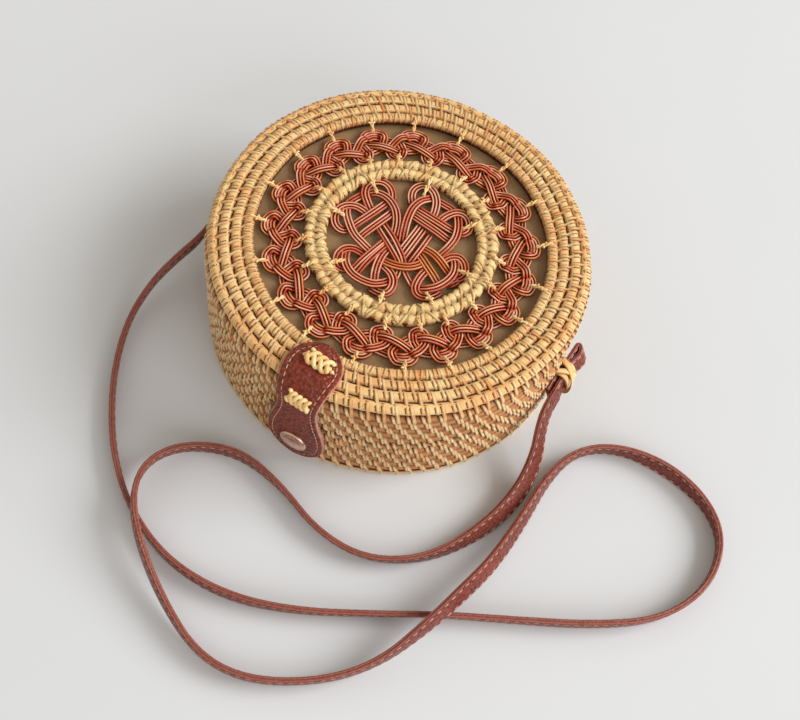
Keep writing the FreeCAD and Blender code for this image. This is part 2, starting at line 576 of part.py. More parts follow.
def hinge_leaf(label, near, far):
    """Leather leaf on the wall at the back, with its far corners rounded."""
    body = doc.addObject("PartDesign::Body", label)
    sketch = new_sketch(body, "XZ_Plane", "outline")
    polygon(sketch, box_corners("-Sizes.hinge_width / 2", "Sizes.hinge_width / 2", near, far))
    pad(body, sketch, "Sizes.leather")
    box = body.Tip.Shape.BoundBox
    far_z = box.ZMax if box.ZMin > size("base_depth") else box.ZMin
    fillet(body, "Sizes.hinge_rounding",
           lambda edge: edge.BoundBox.XLength < 0.01 and edge.BoundBox.ZLength < 0.01
           and abs(edge.BoundBox.ZMin - far_z) < 0.01)
    move(body, y=HINGE_OUT)
    return keep(body, label)


hinge_leaf("hinge_tab_base", "Sizes.base_depth", "Sizes.base_depth - Sizes.hinge_leaf")
hinge_leaf("hinge_tab_lid", LID_LOW, f"({LID_LOW} + Sizes.hinge_leaf)")
knot("hinge_lashing_base", "Sizes.lower_knot_length", "Sizes.lower_knot_width", FACING_BACK,
     y=HINGE_OUT, z="Sizes.base_depth - Sizes.hinge_knot_inset")
knot("hinge_lashing_lid", "Sizes.lower_knot_length", "Sizes.lower_knot_width", FACING_BACK,
     y=HINGE_OUT, z=f"({LID_LOW} + Sizes.hinge_knot_inset)")


def strap_end(label, side):
    """Folded end of the strap along the wall, with a small eye in the fold."""
    body = doc.addObject("PartDesign::Body", f"{label}_body")
    sketch = new_sketch(body, "XY_Plane", "fold")
    bend = Part.ArcOfCircle(Part.Circle(FreeCAD.Vector(0, 10, 0), FreeCAD.Vector(0, 0, 1), 3), 0, math.pi)
    right_low = FreeCAD.Vector(3, -12, 0)
    left_low = FreeCAD.Vector(-3, -12, 0)
    fold = sketch.addGeometry(bend, False)
    left = sketch.addGeometry(Part.LineSegment(FreeCAD.Vector(-3, 10, 0), left_low), False)
    front = sketch.addGeometry(Part.LineSegment(left_low, right_low), False)
    right = sketch.addGeometry(Part.LineSegment(right_low, FreeCAD.Vector(3, 10, 0)), False)
    eye = sketch.addGeometry(Part.Circle(FreeCAD.Vector(0, 10, 0), FreeCAD.Vector(0, 0, 1), 1), False)
    for one, one_end, other, other_end in ((fold, 2, left, 1), (left, 2, front, 1), (front, 2, right, 1),
                                           (right, 2, fold, 1)):
        sketch.addConstraint(Sketcher.Constraint("Coincident", one, one_end, other, other_end))
    sketch.addConstraint(Sketcher.Constraint("Coincident", eye, 3, fold, 3))
    bind(sketch, "Radius", (eye,), 1, "Sizes.strap_eye_radius")
    bind(sketch, "DistanceY", (-1, 1, fold, 3), 10, "Sizes.strap_end_back")
    place_point(sketch, left, 1, "-Sizes.strap_thickness", "Sizes.strap_end_back")
    place_point(sketch, front, 1, "-Sizes.strap_thickness", "-Sizes.strap_end_front")
    place_point(sketch, front, 2, "Sizes.strap_thickness", "-Sizes.strap_end_front")
    place_point(sketch, right, 2, "Sizes.strap_thickness", "Sizes.strap_end_back")
    pad(body, sketch, "Sizes.strap_width", symmetric=True)
    move(body, x=f"{side} * ({SEAT} + Sizes.strap_thickness)", z=STRAP_Z)
    return keep(body, label)


def strap_lashing(label, side):
    """Rattan lashing: a staple over the folded strap with its legs on the wall."""
    wide = "(Sizes.strap_width / 2 + Sizes.lashing_fit)"
    deep = "(2 * Sizes.strap_thickness + Sizes.lashing_fit)"
    body = doc.addObject("PartDesign::Body", f"{label}_body")
    sketch = new_sketch(body, "XZ_Plane", "staple")
    outer_z = f"({wide} + Sizes.lashing_thickness)"
    outer_x = f"{side} * ({deep} + Sizes.lashing_thickness)"
    inner_x = f"{side} * {deep}"
    polygon(sketch, [("0", f"-{outer_z}"), (outer_x, f"-{outer_z}"), (outer_x, outer_z), ("0", outer_z),
                     ("0", wide), (inner_x, wide), (inner_x, f"-{wide}"), ("0", f"-{wide}")])
    pad(body, sketch, "Sizes.lashing_length", symmetric=True)
    move(body, x=f"{side} * {SEAT}", z=STRAP_Z)
    return keep(body, label)


for word, side in (("right", 1), ("left", -1)):
    strap_end(f"strap_end_{word}", side)
    strap_lashing(f"strap_lashing_{word}", side)


def tube_path(points):
    """Straight runs joined by the largest tangent arcs, and the radii of those arcs."""
    edges = []
    radii = []
    start = points[0]
    for before, corner, after in zip(points, points[1:], points[2:]):
        inward = (corner - before).normalize()
        onward = (after - corner).normalize()
        setback = ARC_SHARE * min((corner - before).Length, (after - corner).Length)
        turn = inward.getAngle(onward)
        radii.append(setback / math.tan(turn / 2))
        arc_start = corner - inward * setback
        arc_end = corner + onward * setback
        bisector = (onward - inward).normalize()
        reach = radii[-1] / math.cos(turn / 2) - radii[-1]
        edges.append(Part.LineSegment(start, arc_start).toShape())
        edges.append(Part.Arc(arc_start, corner + bisector * reach, arc_end).toShape())
        start = arc_end
    edges.append(Part.LineSegment(start, points[-1]).toShape())
    return Part.Wire(edges), radii


# Shoulder strap: a round tube of the flat strap's section area along its route on the table
strap_x = size("bag_radius") + size("seat_gap") + size("strap_thickness")
strap_z = size("base_depth") - size("strap_end_drop")
left_exit = FreeCAD.Vector(-strap_x, -size("strap_end_front"), strap_z)
right_exit = FreeCAD.Vector(strap_x, -size("strap_end_front"), strap_z)
lead = FreeCAD.Vector(0, -STRAP_LEAD, 0)
route = [left_exit, left_exit + lead]
spread = size("bag_radius") / ROUTE_BAG_RADIUS
route += [FreeCAD.Vector(spread * x, spread * y, z) for x, y, z in STRAP_ROUTE]
route += [right_exit + lead, right_exit]
tube_radius = math.sqrt(size("strap_width") * size("strap_thickness") / math.pi)
path, radii = tube_path(route)
section = Part.Wire(Part.Circle(left_exit, FreeCAD.Vector(0, 1, 0), tube_radius).toShape())
tube = path.makePipeShell([section], True, False)
strap = doc.addObject("Part::Feature", "strap_tube")
strap.Shape = tube
keep(strap, "shoulder_strap")
print("strap length", round(path.Length, 1), "mm; bend radii", [round(radius) for radius in radii])
print("strap volume over section times length",
      round(tube.Volume / (math.pi * tube_radius ** 2 * path.Length), 4))

# Every object has to be sound before anything is written
doc.recompute()
faults = [piece.Label for piece in doc.Objects if "Invalid" in piece.State or "Error" in piece.State]
faults += [piece.Label for piece in nodes if piece.Shape.isNull() or not piece.Shape.isValid()]
if faults:
    raise RuntimeError(f"unsound pieces: {faults}")
os.makedirs("parts", exist_ok=True)
for piece in nodes:
    piece.Shape.exportStep(f"parts/{piece.Label}.step")
print(len(nodes), "pieces written")
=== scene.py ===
# %% [markdown]
# # A round box bag of coiled rattan
# The bag is two shallow drums of coiled rattan that meet at a seam, with a ring of knots and a four-leaf knot
# in the lid's open eye, a leather tab that snaps shut in front and a long leather strap. The imported solids give
# every piece its place, so each step below builds the looks of one piece right where its solid is.

# %% Load the imported bag
import math
from contextlib import contextmanager
import bpy
import numpy as np
from mathutils import Matrix, Vector


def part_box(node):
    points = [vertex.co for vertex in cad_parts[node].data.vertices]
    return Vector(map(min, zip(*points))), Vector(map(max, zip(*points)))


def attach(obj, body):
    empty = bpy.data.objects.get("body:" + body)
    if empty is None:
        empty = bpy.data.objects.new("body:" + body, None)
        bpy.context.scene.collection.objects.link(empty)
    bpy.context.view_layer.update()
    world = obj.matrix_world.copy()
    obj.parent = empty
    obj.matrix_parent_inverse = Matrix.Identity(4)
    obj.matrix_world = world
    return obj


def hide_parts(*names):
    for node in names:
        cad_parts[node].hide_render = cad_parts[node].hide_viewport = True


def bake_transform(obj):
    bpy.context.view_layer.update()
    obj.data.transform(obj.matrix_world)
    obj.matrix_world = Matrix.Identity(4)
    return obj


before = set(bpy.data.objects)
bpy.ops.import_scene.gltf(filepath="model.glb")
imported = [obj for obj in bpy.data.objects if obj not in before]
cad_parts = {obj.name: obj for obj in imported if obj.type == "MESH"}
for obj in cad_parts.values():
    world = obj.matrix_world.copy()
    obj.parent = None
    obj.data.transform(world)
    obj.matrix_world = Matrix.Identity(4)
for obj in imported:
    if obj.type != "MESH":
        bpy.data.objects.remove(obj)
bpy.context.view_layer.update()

MM = 0.001

# %% [markdown]
# ## Camera
# The picture is taken from above and in front, with the camera a little rolled. The rim, the eye and the inner
# ring are circles in known planes, so their ellipses give the pitch, the roll and the distance. A lens of 54 mm
# on a 36 mm sensor gives the same perspective.

# %% Place the camera
PITCH, ROLL, TURN = math.radians(61.56), math.radians(12.62), math.radians(17.5)
CAMERA_PLACE = Vector((115.9, -326.1, 586.1)) * MM
LENS, SENSOR = 54, 36
turn = Matrix.Rotation(TURN, 3, "Z")
ahead = turn @ Vector((0, math.cos(PITCH), -math.sin(PITCH)))
level = turn @ Vector((1, 0, 0))
upward = turn @ Vector((0, math.sin(PITCH), math.cos(PITCH)))
right = math.cos(ROLL) * level + math.sin(ROLL) * upward
up = -math.sin(ROLL) * level + math.cos(ROLL) * upward
bpy.ops.object.select_all(action="DESELECT")
bpy.ops.object.camera_add()
camera = bpy.context.object
camera.data.lens, camera.data.sensor_width = LENS, SENSOR
camera.matrix_world = Matrix([[right[k], up[k], -ahead[k], CAMERA_PLACE[k]] for k in range(3)] + [[0, 0, 0, 1]])
bpy.context.scene.camera = camera
bpy.context.scene.view_settings.view_transform = "Standard"
print("camera at", [round(c, 3) for c in CAMERA_PLACE])

# %% [markdown]
# ## Table and light
# The bag lies on a pale table by a window at its right. One large soft lamp stands for the window, a weaker and
# lower one lights the wall on that side, and the world fills the shadows with the room's warm light. Together
# they light a flat white card to about white, so colours come out as written.

# %% Shade colours as they are seen on a screen
def tint(red, green, blue):
    """A colour as a screen shows it, 0 to 255, made linear for the shader."""
    return tuple(c / 12.92 if c <= 0.04045 else ((c + 0.055) / 1.055) ** 2.4
                 for c in (red / 255, green / 255, blue / 255)) + (1.0,)


def new_finish(name):
    """A material with its Principled shader, ready for its nodes."""
    finish = bpy.data.materials.new(name)
    finish.use_nodes = True
    tree = finish.node_tree
    return finish, tree, tree.nodes["Principled BSDF"]


# %% Wire shader nodes
def put(tree, value, socket):
    """Link an output socket to an input socket, or set the input to a plain value."""
    if isinstance(value, bpy.types.NodeSocket):
        tree.links.new(value, socket)
    else:
        socket.default_value = value


def wire(tree, node, **inputs):
    """Feed a node's inputs by their names, with _ for a space."""
    for label, value in inputs.items():
        put(tree, value, node.inputs[label.replace("_", " ")])
    return node


def add_node(tree, kind, **inputs):
    """A new shader node with its inputs fed."""
    return wire(tree, tree.nodes.new("ShaderNode" + kind), **inputs)


def add_noise(tree, spot, scale, detail):
    """A noise over texture coordinates, as an output socket."""
    return add_node(tree, "TexNoise", Vector=spot, Scale=scale, Detail=detail).outputs["Fac"]


# %% Lay the table
def add_shape(add, **sizes):
    """Add a primitive with nothing else selected, and put its place into its mesh."""
    bpy.ops.object.select_all(action="DESELECT")
    add(**sizes)
    bpy.ops.object.transform_apply(location=True, rotation=True, scale=True)
    return bpy.context.object


TABLE_SIZE, BELOW_BAG = 7, 0.0002
TABLE_TINTS = (0.3, tint(222, 227, 233)), (0.7, tint(227, 232, 238))
table = add_shape(bpy.ops.mesh.primitive_plane_add, size=TABLE_SIZE, location=(0, 0, -BELOW_BAG))
table.name = "table_top"
paper, tree, shader = new_finish("pale_table")
mottle = add_noise(tree, add_node(tree, "TexCoord").outputs["Object"], 3.0, 6.0)
shades = add_node(tree, "ValToRGB", Fac=mottle)
for stop, (position, colour) in zip(shades.color_ramp.elements, TABLE_TINTS):
    stop.position, stop.color = position, colour
wire(tree, shader, Base_Color=shades.outputs["Color"], Roughness=0.75, Specular_IOR_Level=0.25)
table.data.materials.append(paper)
print("table laid,", TABLE_SIZE, "m square")

# %% Light it: place, watts, size and colour of each lamp
WINDOW_LAMP = (3.25, 2.0, 2.6), 156.0, 2.6, (1.0, 0.99, 0.975)
SIDE_LAMP = (3.0, -1.6, 1.8), 46.0, 2.4, (1.0, 1.0, 1.0)
LAMP_AIM = Vector((0, -0.02, 0.03))
world = bpy.data.worlds.new("room")
bpy.context.scene.world = world
world.use_nodes = True
wire(world.node_tree, world.node_tree.nodes["Background"], Color=tint(248, 238, 224), Strength=0.54)
for spot, watts, size, shade in (WINDOW_LAMP, SIDE_LAMP):
    bpy.ops.object.select_all(action="DESELECT")
    bpy.ops.object.light_add(type="AREA", location=spot)
    lamp = bpy.context.object
    lamp.data.shape, lamp.data.size, lamp.data.size_y = "RECTANGLE", size, size
    lamp.data.energy, lamp.data.color = watts, shade
    facing = (LAMP_AIM - Vector(spot)).to_track_quat("-Z", "Y")
    lamp.matrix_world = Matrix.Translation(spot) @ facing.to_matrix().to_4x4()
    print("lamp", watts, "W at", spot)

# %% [markdown]
# ## Finishes shared by several pieces
# Rattan peel, stained rattan and leather each show on many pieces. Their colour, roughness and relief are built
# once as node groups, and each material places a group with its own colours. Attributes on the meshes steer
# them: `tone` is a chance number for each strand or stitch, and on round strands it also grows down their sides as
# painted shade; `gap` is painted shade where a surface sinks between coils, at the edges of strips and on the
# lower sides of strands, with stain as well on the stained rattan; a third attribute makes the edges of leather
# paler, for wear and a painted highlight on the cut edge.

# %% Start a node group
COLOUR, NUMBER, ARROW = "NodeSocketColor", "NodeSocketFloat", "NodeSocketVector"
LOOK = dict(Colour=COLOUR, Roughness=NUMBER, Height=NUMBER, Shine=NUMBER)


def new_group(name, **inputs):
    """A shader node group with named inputs that puts out a look: the group, its inputs' sockets, its last node."""
    group = bpy.data.node_groups.new(name, "ShaderNodeTree")
    for way, sockets in (("INPUT", inputs), ("OUTPUT", LOOK)):
        for label, kind in sockets.items():
            group.interface.new_socket(label, in_out=way, socket_type=kind)
    return group, group.nodes.new("NodeGroupInput").outputs, group.nodes.new("NodeGroupOutput")


def add_math(tree, how, first, second, kind="Math"):
    """A math node's output; each of the two inputs is a number or an output socket."""
    node = add_node(tree, kind)
    node.operation = how
    put(tree, first, node.inputs[0])
    put(tree, second, node.inputs[1])
    return node.outputs[0]


def add_mix(tree, share, first, second):
    """A mix of two colours by a share, as an output socket."""
    node = add_node(tree, "Mix")
    node.data_type, node.clamp_factor = "RGBA", True
    for slot, value in ((0, share), (6, first), (7, second)):
        put(tree, value, node.inputs[slot])
    return node.outputs[2]


def add_attribute(tree, name):
    """The number that a mesh attribute holds, as an output socket."""
    node = add_node(tree, "Attribute")
    node.attribute_name = name
    return node.outputs["Fac"]


# %% Rattan: fibres along each strand, a tone of its own, painted shade and stain in the gaps
SEED_SPREAD, PATCH_SCALE, FIBRE_ROUGH, PALE_START = 53.0, 150.0, 0.22, -0.55
TONE_SHARE, PATCH_SHARE, FIBRE_SHARE = 0.55, 0.55, 0.8
rattan_peel, start, end = new_group("rattan_peel", Pale=COLOUR, Deep=COLOUR, Stain=COLOUR, Fibre=ARROW,
                                    Gloss=NUMBER, Coat=NUMBER)
place = add_node(rattan_peel, "TexCoord").outputs
tone, gap = add_attribute(rattan_peel, "tone"), add_attribute(rattan_peel, "gap")
seed = add_node(rattan_peel, "CombineXYZ", Z=add_math(rattan_peel, "MULTIPLY", tone, SEED_SPREAD)).outputs[0]
stretched = add_math(rattan_peel, "MULTIPLY", place["UV"], start["Fibre"], "VectorMath")
fibre = add_noise(rattan_peel, add_math(rattan_peel, "ADD", stretched, seed, "VectorMath"), 1.0, 3.0)
patch = add_noise(rattan_peel, place["Object"], PATCH_SCALE, 3.0)
share = PALE_START
for source, weight in ((tone, TONE_SHARE), (patch, PATCH_SHARE), (fibre, FIBRE_SHARE)):
    share = add_math(rattan_peel, "ADD", share, add_math(rattan_peel, "MULTIPLY", source, weight))
skin = add_mix(rattan_peel, share, start["Pale"], start["Deep"])
# Where `gap` grows the colour goes to the darkest one: painted shade in the gaps, and stain on the stained rattan.
skin = add_mix(rattan_peel, gap, skin, start["Stain"])
rough = add_math(rattan_peel, "ADD", start["Gloss"], add_math(rattan_peel, "MULTIPLY", fibre, FIBRE_ROUGH))
bare = add_math(rattan_peel, "SUBTRACT", 1.0, gap)
wire(rattan_peel, end, Colour=skin, Roughness=rough, Height=fibre,
     Shine=add_math(rattan_peel, "MULTIPLY", start["Coat"], bare))
print("rattan group", len(rattan_peel.nodes), "nodes")

# %% Leather: pebbled grain, cloudy colour, edges paler with wear and a painted highlight
CLOUD_SCALE, HOLLOW_DARK, HOLLOW_ROUGH = 90.0, 0.9, 0.25
MURK_GAIN, MURK_START, WEAR_AND_HIGHLIGHT_START = 1.2, 0.35, 0.25
leather_hide, start, end = new_group("leather_hide", Base=COLOUR, Dark=COLOUR, Rubbed=COLOUR, Grain=NUMBER,
                                     Gloss=NUMBER, Coat=NUMBER)
place = add_node(leather_hide, "TexCoord").outputs
pebble = add_node(leather_hide, "TexVoronoi")
pebble.feature = "SMOOTH_F1"
wire(leather_hide, pebble, Vector=place["Object"], Scale=start["Grain"], Smoothness=0.6)
depth, edge_wear_and_highlight = pebble.outputs["Distance"], add_attribute(leather_hide, "edge_wear_and_highlight")
cloud = add_noise(leather_hide, place["Object"], CLOUD_SCALE, 5.0)
hollow = add_math(leather_hide, "MULTIPLY", depth, HOLLOW_DARK)
hide = add_mix(leather_hide, hollow, start["Base"], start["Dark"])
murk = add_math(leather_hide, "SUBTRACT", add_math(leather_hide, "MULTIPLY", cloud, MURK_GAIN), MURK_START)
hide = add_mix(leather_hide, murk, hide, start["Dark"])
# The marked edges turn paler: wear, and a painted highlight along the cut edge.
wear_and_highlight_share = add_math(leather_hide, "MULTIPLY", edge_wear_and_highlight, add_math(leather_hide, "ADD", cloud, WEAR_AND_HIGHLIGHT_START))
hide = add_mix(leather_hide, wear_and_highlight_share, hide, start["Rubbed"])
rough = add_math(leather_hide, "ADD", start["Gloss"], add_math(leather_hide, "MULTIPLY", depth, HOLLOW_ROUGH))
crown = add_math(leather_hide, "SUBTRACT", 1.0, depth)
wire(leather_hide, end, Colour=hide, Roughness=rough, Height=crown,
     Shine=add_math(leather_hide, "MULTIPLY", start["Coat"], crown))
print("leather group", len(leather_hide.nodes), "nodes")


# %% Place a group in a material
def add_relief(tree, shader, height, strength, distance):
    """A bump from a height, fed to the shader."""
    bump = add_node(tree, "Bump", Strength=strength, Distance=distance, Height=height).outputs[0]
    wire(tree, shader, Normal=bump)
    return bump


def finish_from(name, group, relief, sheen, **values):
    """A material whose look comes from a group with the group's own values; relief is the bump's strength and
    distance, and sheen the roughness of the coat."""
    finish, tree, shader = new_finish(name)
    node = tree.nodes.new("ShaderNodeGroup")
    node.node_tree = group
    look = wire(tree, node, **values).outputs
    bump = add_relief(tree, shader, look["Height"], *relief)
    wire(tree, shader, Base_Color=look["Colour"], Roughness=look["Roughness"], Coat_Weight=look["Shine"],
         Coat_Normal=bump, Coat_Roughness=sheen, Specular_IOR_Level=0.1)
    return finish


def rattan(name, pale, deep, shade_and_stain, fibre, coat, relief=(0.4, 0.0003), sheen=0.14, gloss=0.4):
    """A rattan finish from its three colours, the stretch of its fibres and its shine."""
    return finish_from(name, rattan_peel, relief, sheen, Pale=tint(*pale), Deep=tint(*deep), Stain=tint(*shade_and_stain),
                       Fibre=fibre, Gloss=gloss, Coat=coat)


# %% The rattans
# The third colour of each rattan is painted shade for its gaps, with stain on the stained ones.
ON_COIL = dict(fibre=(140, 10, 1), coat=0.1, relief=(0.4, 0.0004))
ON_STRIP = dict(fibre=(7, 2, 1), coat=0.35)
STAINED = dict(fibre=(80, 6, 1), coat=0.6, relief=(0.2, 0.0003), sheen=0.18, gloss=0.3)
coil_rattan = rattan("coil_rattan", (255, 226, 164), (226, 128, 44), (78, 20, 2), **ON_COIL)
# The walls get a darker copy of the coil and paler strips with a darker edge colour: painted shade on the wall coils,
# and a painted highlight and painted shadow on the wall strips.
wall_coil_painted_shade = rattan("wall_coil_painted_shade", (228, 168, 112), (158, 86, 38), (40, 8, 0), **ON_COIL)
stitch_rattan = rattan("stitch_rattan", (255, 230, 170), (228, 130, 46), (112, 38, 2), **ON_STRIP)
wall_stitch_painted_light = rattan("wall_stitch_painted_light", (255, 228, 178), (240, 164, 88), (66, 18, 2), **ON_STRIP)
tie_rattan = rattan("tie_rattan", (255, 231, 170), (236, 148, 54), (108, 44, 2), (60, 6, 1), 0.2)
# On the stained strands the pale colour is a painted highlight along their tops, and the deep one painted shade down
# their sides.
red_rattan = rattan("red_rattan", (255, 210, 176), (192, 64, 14), (40, 0, 0), **STAINED)
amber_rattan = rattan("amber_rattan", (255, 200, 138), (196, 78, 8), (46, 2, 0), **STAINED)
print("rattans", [m.name for m in bpy.data.materials if "rattan" in m.name])

# %% The leathers
tab_leather = finish_from("tab_leather", leather_hide, (0.9, 0.0008), 0.2, Base=tint(176, 64, 38),
                          Dark=tint(44, 5, 1), Rubbed=tint(224, 164, 142), Grain=620.0, Gloss=0.4, Coat=0.6)
strap_leather = finish_from("strap_leather", leather_hide, (0.6, 0.0005), 0.3, Base=tint(156, 66, 52),
                            Dark=tint(52, 9, 4), Rubbed=tint(172, 106, 92), Grain=800.0, Gloss=0.4, Coat=1.0)
print("leathers", tab_leather.name, strap_leather.name)

# %% Sewing thread: cream, fuzzy, a little uneven
sewing_thread, tree, shader = new_finish("sewing_thread")
twist = add_noise(tree, add_node(tree, "TexCoord").outputs["Object"], 1400.0, 2.0)
cream = add_mix(tree, twist, tint(232, 200, 176), tint(190, 146, 120))
wire(tree, shader, Base_Color=cream, Roughness=0.8)
add_relief(tree, shader, twist, 0.5, 0.0003)
print("thread ready")

# %% [markdown]
# ## Shoulder strap
# The strap is one narrow band of two leather layers sewn together, limp, lashed to the wall on both sides. It lies
# in loops on the table, mostly on its edge, and turns its flat side up in a few places. Its line is a smooth
# NURBS curve on the route's points. A curve bevel can't turn the band where the picture does, so a ring of points
# is set across the line at each step, leaned by the angle written at each control point.

# %% The route, in millimetres, with the lean of the band: 90 stands on edge, 0 and 180 lie flat
STRAP_ROUTE = [
    (-105.5, -12, 28.5, 67), (-105.0, -21, 28, 72), (-106, -31.5, 26, 76), (-111.5, -43, 20, 73),
    (-117.5, -59, 11.5, 74), (-117.5, -81, 6.4, 78), (-109.5, -105, 5.4, 83), (-97, -128, 5.4, 86),
    (-79, -152, 5.3, 91), (-56, -172, 5.3, 92), (-25, -186, 5.3, 93), (10, -187, 5.3, 91),
    (44, -176, 5.4, 99), (79, -157, 5.4, 104), (107, -141, 5.4, 103), (140, -125, 5.4, 99),
    (176, -107, 5.4, 96), (205, -87, 5.4, 98), (220, -60, 5.3, 92), (219, -33, 5.4, 80),
    (204, -16, 5.4, 88), (178, -8, 5.6, 105), (150, -10, 5.4, 86), (130, -23, 5.4, 84),
    (122, -46, 5.4, 105), (121, -75, 5.8, 116), (118, -105, 9.4, 122), (111.5, -130, 16.0, 122),
    (104, -153, 15.8, 110), (93, -177, 8.4, 90), (74, -198, 5.4, 84), (43, -216, 5.4, 84),
    (15, -218, 5.4, 86), (-15, -204, 8.4, 98), (-42, -184.5, 15.6, 99), (-57, -165.5, 16.2, 100),
    (-60, -146, 10.6, 103), (-49, -128, 5.5, 98), (-24, -118, 5.4, 90), (4, -123, 5.4, 101),
    (33, -135, 5.4, 105), (62, -135, 5.4, 107), (88, -119, 5.4, 95), (105, -92, 5.4, 60),
    (113, -66, 6.6, 42), (112.5, -46, 14, 46), (106.6, -31.5, 25, 58), (105.0, -21, 28, 66), (105.5, -12, 28.5, 67)]


def new_piece(name, data):
    """An object at the origin that holds a mesh or a curve."""
    piece = bpy.data.objects.new(name, data)
    bpy.context.scene.collection.objects.link(piece)
    return piece


def run_along(line):
    """How far each point of a line is from its start, along it."""
    return np.concatenate([[0], np.cumsum(np.linalg.norm(np.diff(line, axis=0), axis=1))])


LINE_STEPS, SAME_PLACE = 12, 1e-6
curve = bpy.data.curves.new("strap_line", "CURVE")
curve.dimensions, curve.resolution_u = "3D", LINE_STEPS
spline = curve.splines.new("NURBS")
spline.points.add(len(STRAP_ROUTE) - 1)
for point, (x, y, z, lean) in zip(spline.points, STRAP_ROUTE):
    point.co = (x * MM, y * MM, z * MM, 1)
spline.order_u = 3
spline.use_endpoint_u = True
strap_line = new_piece("strap_line", curve)
strap_path = np.array([v.co for v in bpy.data.meshes.new_from_object(strap_line).vertices])
bpy.data.objects.remove(strap_line)
apart = np.linalg.norm(np.diff(strap_path, axis=0), axis=1) > SAME_PLACE
strap_path = strap_path[np.concatenate([[True], apart])]
strap_along = run_along(strap_path)
print("strap", len(strap_path), "steps", round(strap_along[-1], 4), "m")


# %% Turn the band along its line
def unit(arrows):
    """Arrows of length one, along the last axis."""
    return arrows / np.linalg.norm(arrows, axis=-1, keepdims=True)


SOFT_STEPS = 19
spans = len(STRAP_ROUTE) - 2
marks = np.concatenate([[0], np.arange(spans) + 0.5, [spans]]) / spans
lean = np.interp(np.linspace(0, 1, len(strap_path)), marks, [math.radians(point[3]) for point in STRAP_ROUTE])
soften = np.hanning(SOFT_STEPS) / np.hanning(SOFT_STEPS).sum()
lean = np.convolve(np.pad(lean, SOFT_STEPS // 2, mode="edge"), soften, mode="valid")
strap_ahead = unit(np.gradient(strap_path, axis=0))
strap_left = unit(np.cross([0, 0, 1.0], strap_ahead))
strap_rise = np.cross(strap_ahead, strap_left)
strap_wide = np.cos(lean)[:, None] * strap_left + np.sin(lean)[:, None] * strap_rise
strap_face = np.cross(strap_ahead, strap_wide)
print("lean from", round(math.degrees(lean.min())), "to", round(math.degrees(lean.max())), "degrees")


# %% Make a skin, and give its points numbers that materials read
def skin_of(name, points, faces, finish):
    """A smooth mesh of points and faces with one finish."""
    mesh = bpy.data.meshes.new(name)
    mesh.from_pydata(points.reshape(-1, 3).tolist(), [], faces)
    mesh.materials.append(finish)
    mesh.shade_smooth()
    return new_piece(name, mesh)


def set_uv(piece, places):
    """A UV map from one flat place for each point."""
    layer = piece.data.uv_layers.get("UVMap") or piece.data.uv_layers.new(name="UVMap")
    corner = np.array([loop.vertex_index for loop in piece.data.loops])
    layer.data.foreach_set("uv", np.asarray(places, np.float32)[corner].ravel())


def set_spread(piece, name, values):
    """One number for each point of a mesh, as an attribute."""
    layer = piece.data.attributes.get(name) or piece.data.attributes.new(name, "FLOAT", "POINT")
    layer.data.foreach_set("value", np.asarray(values, np.float32))


def loft(name, rings, finish, lengths):
    """A capped skin through rings of points, with a UV map: across the ring, and along in metres."""
    steps, count = rings.shape[:2]
    faces = [(i * count + k, i * count + (k + 1) % count, (i + 1) * count + (k + 1) % count, (i + 1) * count + k)
             for i in range(steps - 1) for k in range(count)]
    faces += [tuple(range(count - 1, -1, -1)), tuple((steps - 1) * count + k for k in range(count))]
    piece = skin_of(name, rings, faces, finish)
    set_uv(piece, np.column_stack([np.tile(np.arange(count) / count, steps), np.repeat(lengths, count)]))
    return piece


# %% Sweep the band: two layers with a groove between them, sunk along the seams
EDGE = [(4.6, 1.28), (5.0, 0.95), (5.05, 0.45), (4.72, 0.0), (5.05, -0.45), (5.0, -0.95), (4.6, -1.28)]
FACE = [(4.2, 1.44), (3.75, 1.26), (3.2, 1.46), (0.0, 1.55), (-3.2, 1.46), (-3.75, 1.26), (-4.2, 1.44)]
BAND_SECTION = np.array(FACE + [(-a, b) for a, b in EDGE] + [(-a, -b) for a, b in FACE]
                        + [(a, -b) for a, b in EDGE]) * MM


def band_rings(centre, wide, face, outline):
    """Points of an outline set across a line, at every step of it."""
    return centre[:, None, :] + outline[None, :, :1] * wide[:, None, :] + outline[None, :, 1:] * face[:, None, :]


def sweep_band(name, line, wide, face, outline, corner):
    """A strap band along a line, paler where its outline is past a corner (to the side, off the middle): wear, and a
    painted highlight on its edges.
    """
    band = loft(name, band_rings(line, wide, face, outline), strap_leather, run_along(line))
    wear_and_highlight_share = [1.0 if abs(a) > corner[0] and abs(b) > corner[1] else 0.15 for a, b in outline]
    set_spread(band, "edge_wear_and_highlight", np.tile(wear_and_highlight_share, len(line)))
    print(name, len(band.data.polygons), "faces")
    return band


BAND_CORNER = (0.0046, 0.0004)
strap = sweep_band("shoulder_strap_band", strap_path, strap_wide, strap_face, BAND_SECTION, BAND_CORNER)

# %% [markdown]
# ## Sewing on the strap
# Cream thread runs a little inside both edges, on both faces, as short dashes with a gap where the needle went
# down. One stitch is modelled from a small ball that is pulled long and flattened as it is copied along the seams.

# %% Model one stitch of thread
def lone(piece):
    """Make one object the only selected one, and active."""
    bpy.ops.object.select_all(action="DESELECT")
    piece.select_set(True)
    bpy.context.view_layer.objects.active = piece


@contextmanager
def editing(piece):
    """Edit one piece with all of it selected, then go back to object mode."""
    lone(piece)
    bpy.ops.object.mode_set(mode="EDIT")
    bpy.ops.mesh.select_all(action="SELECT")
    yield
    bpy.ops.object.mode_set(mode="OBJECT")


thread_stitch = add_shape(bpy.ops.mesh.primitive_uv_sphere_add, segments=6, ring_count=5, radius=0.5)
with editing(thread_stitch):
    bpy.ops.transform.rotate(value=math.pi / 2, orient_axis="Y", center_override=(0, 0, 0))
print("thread stitch faces", len(thread_stitch.data.polygons))


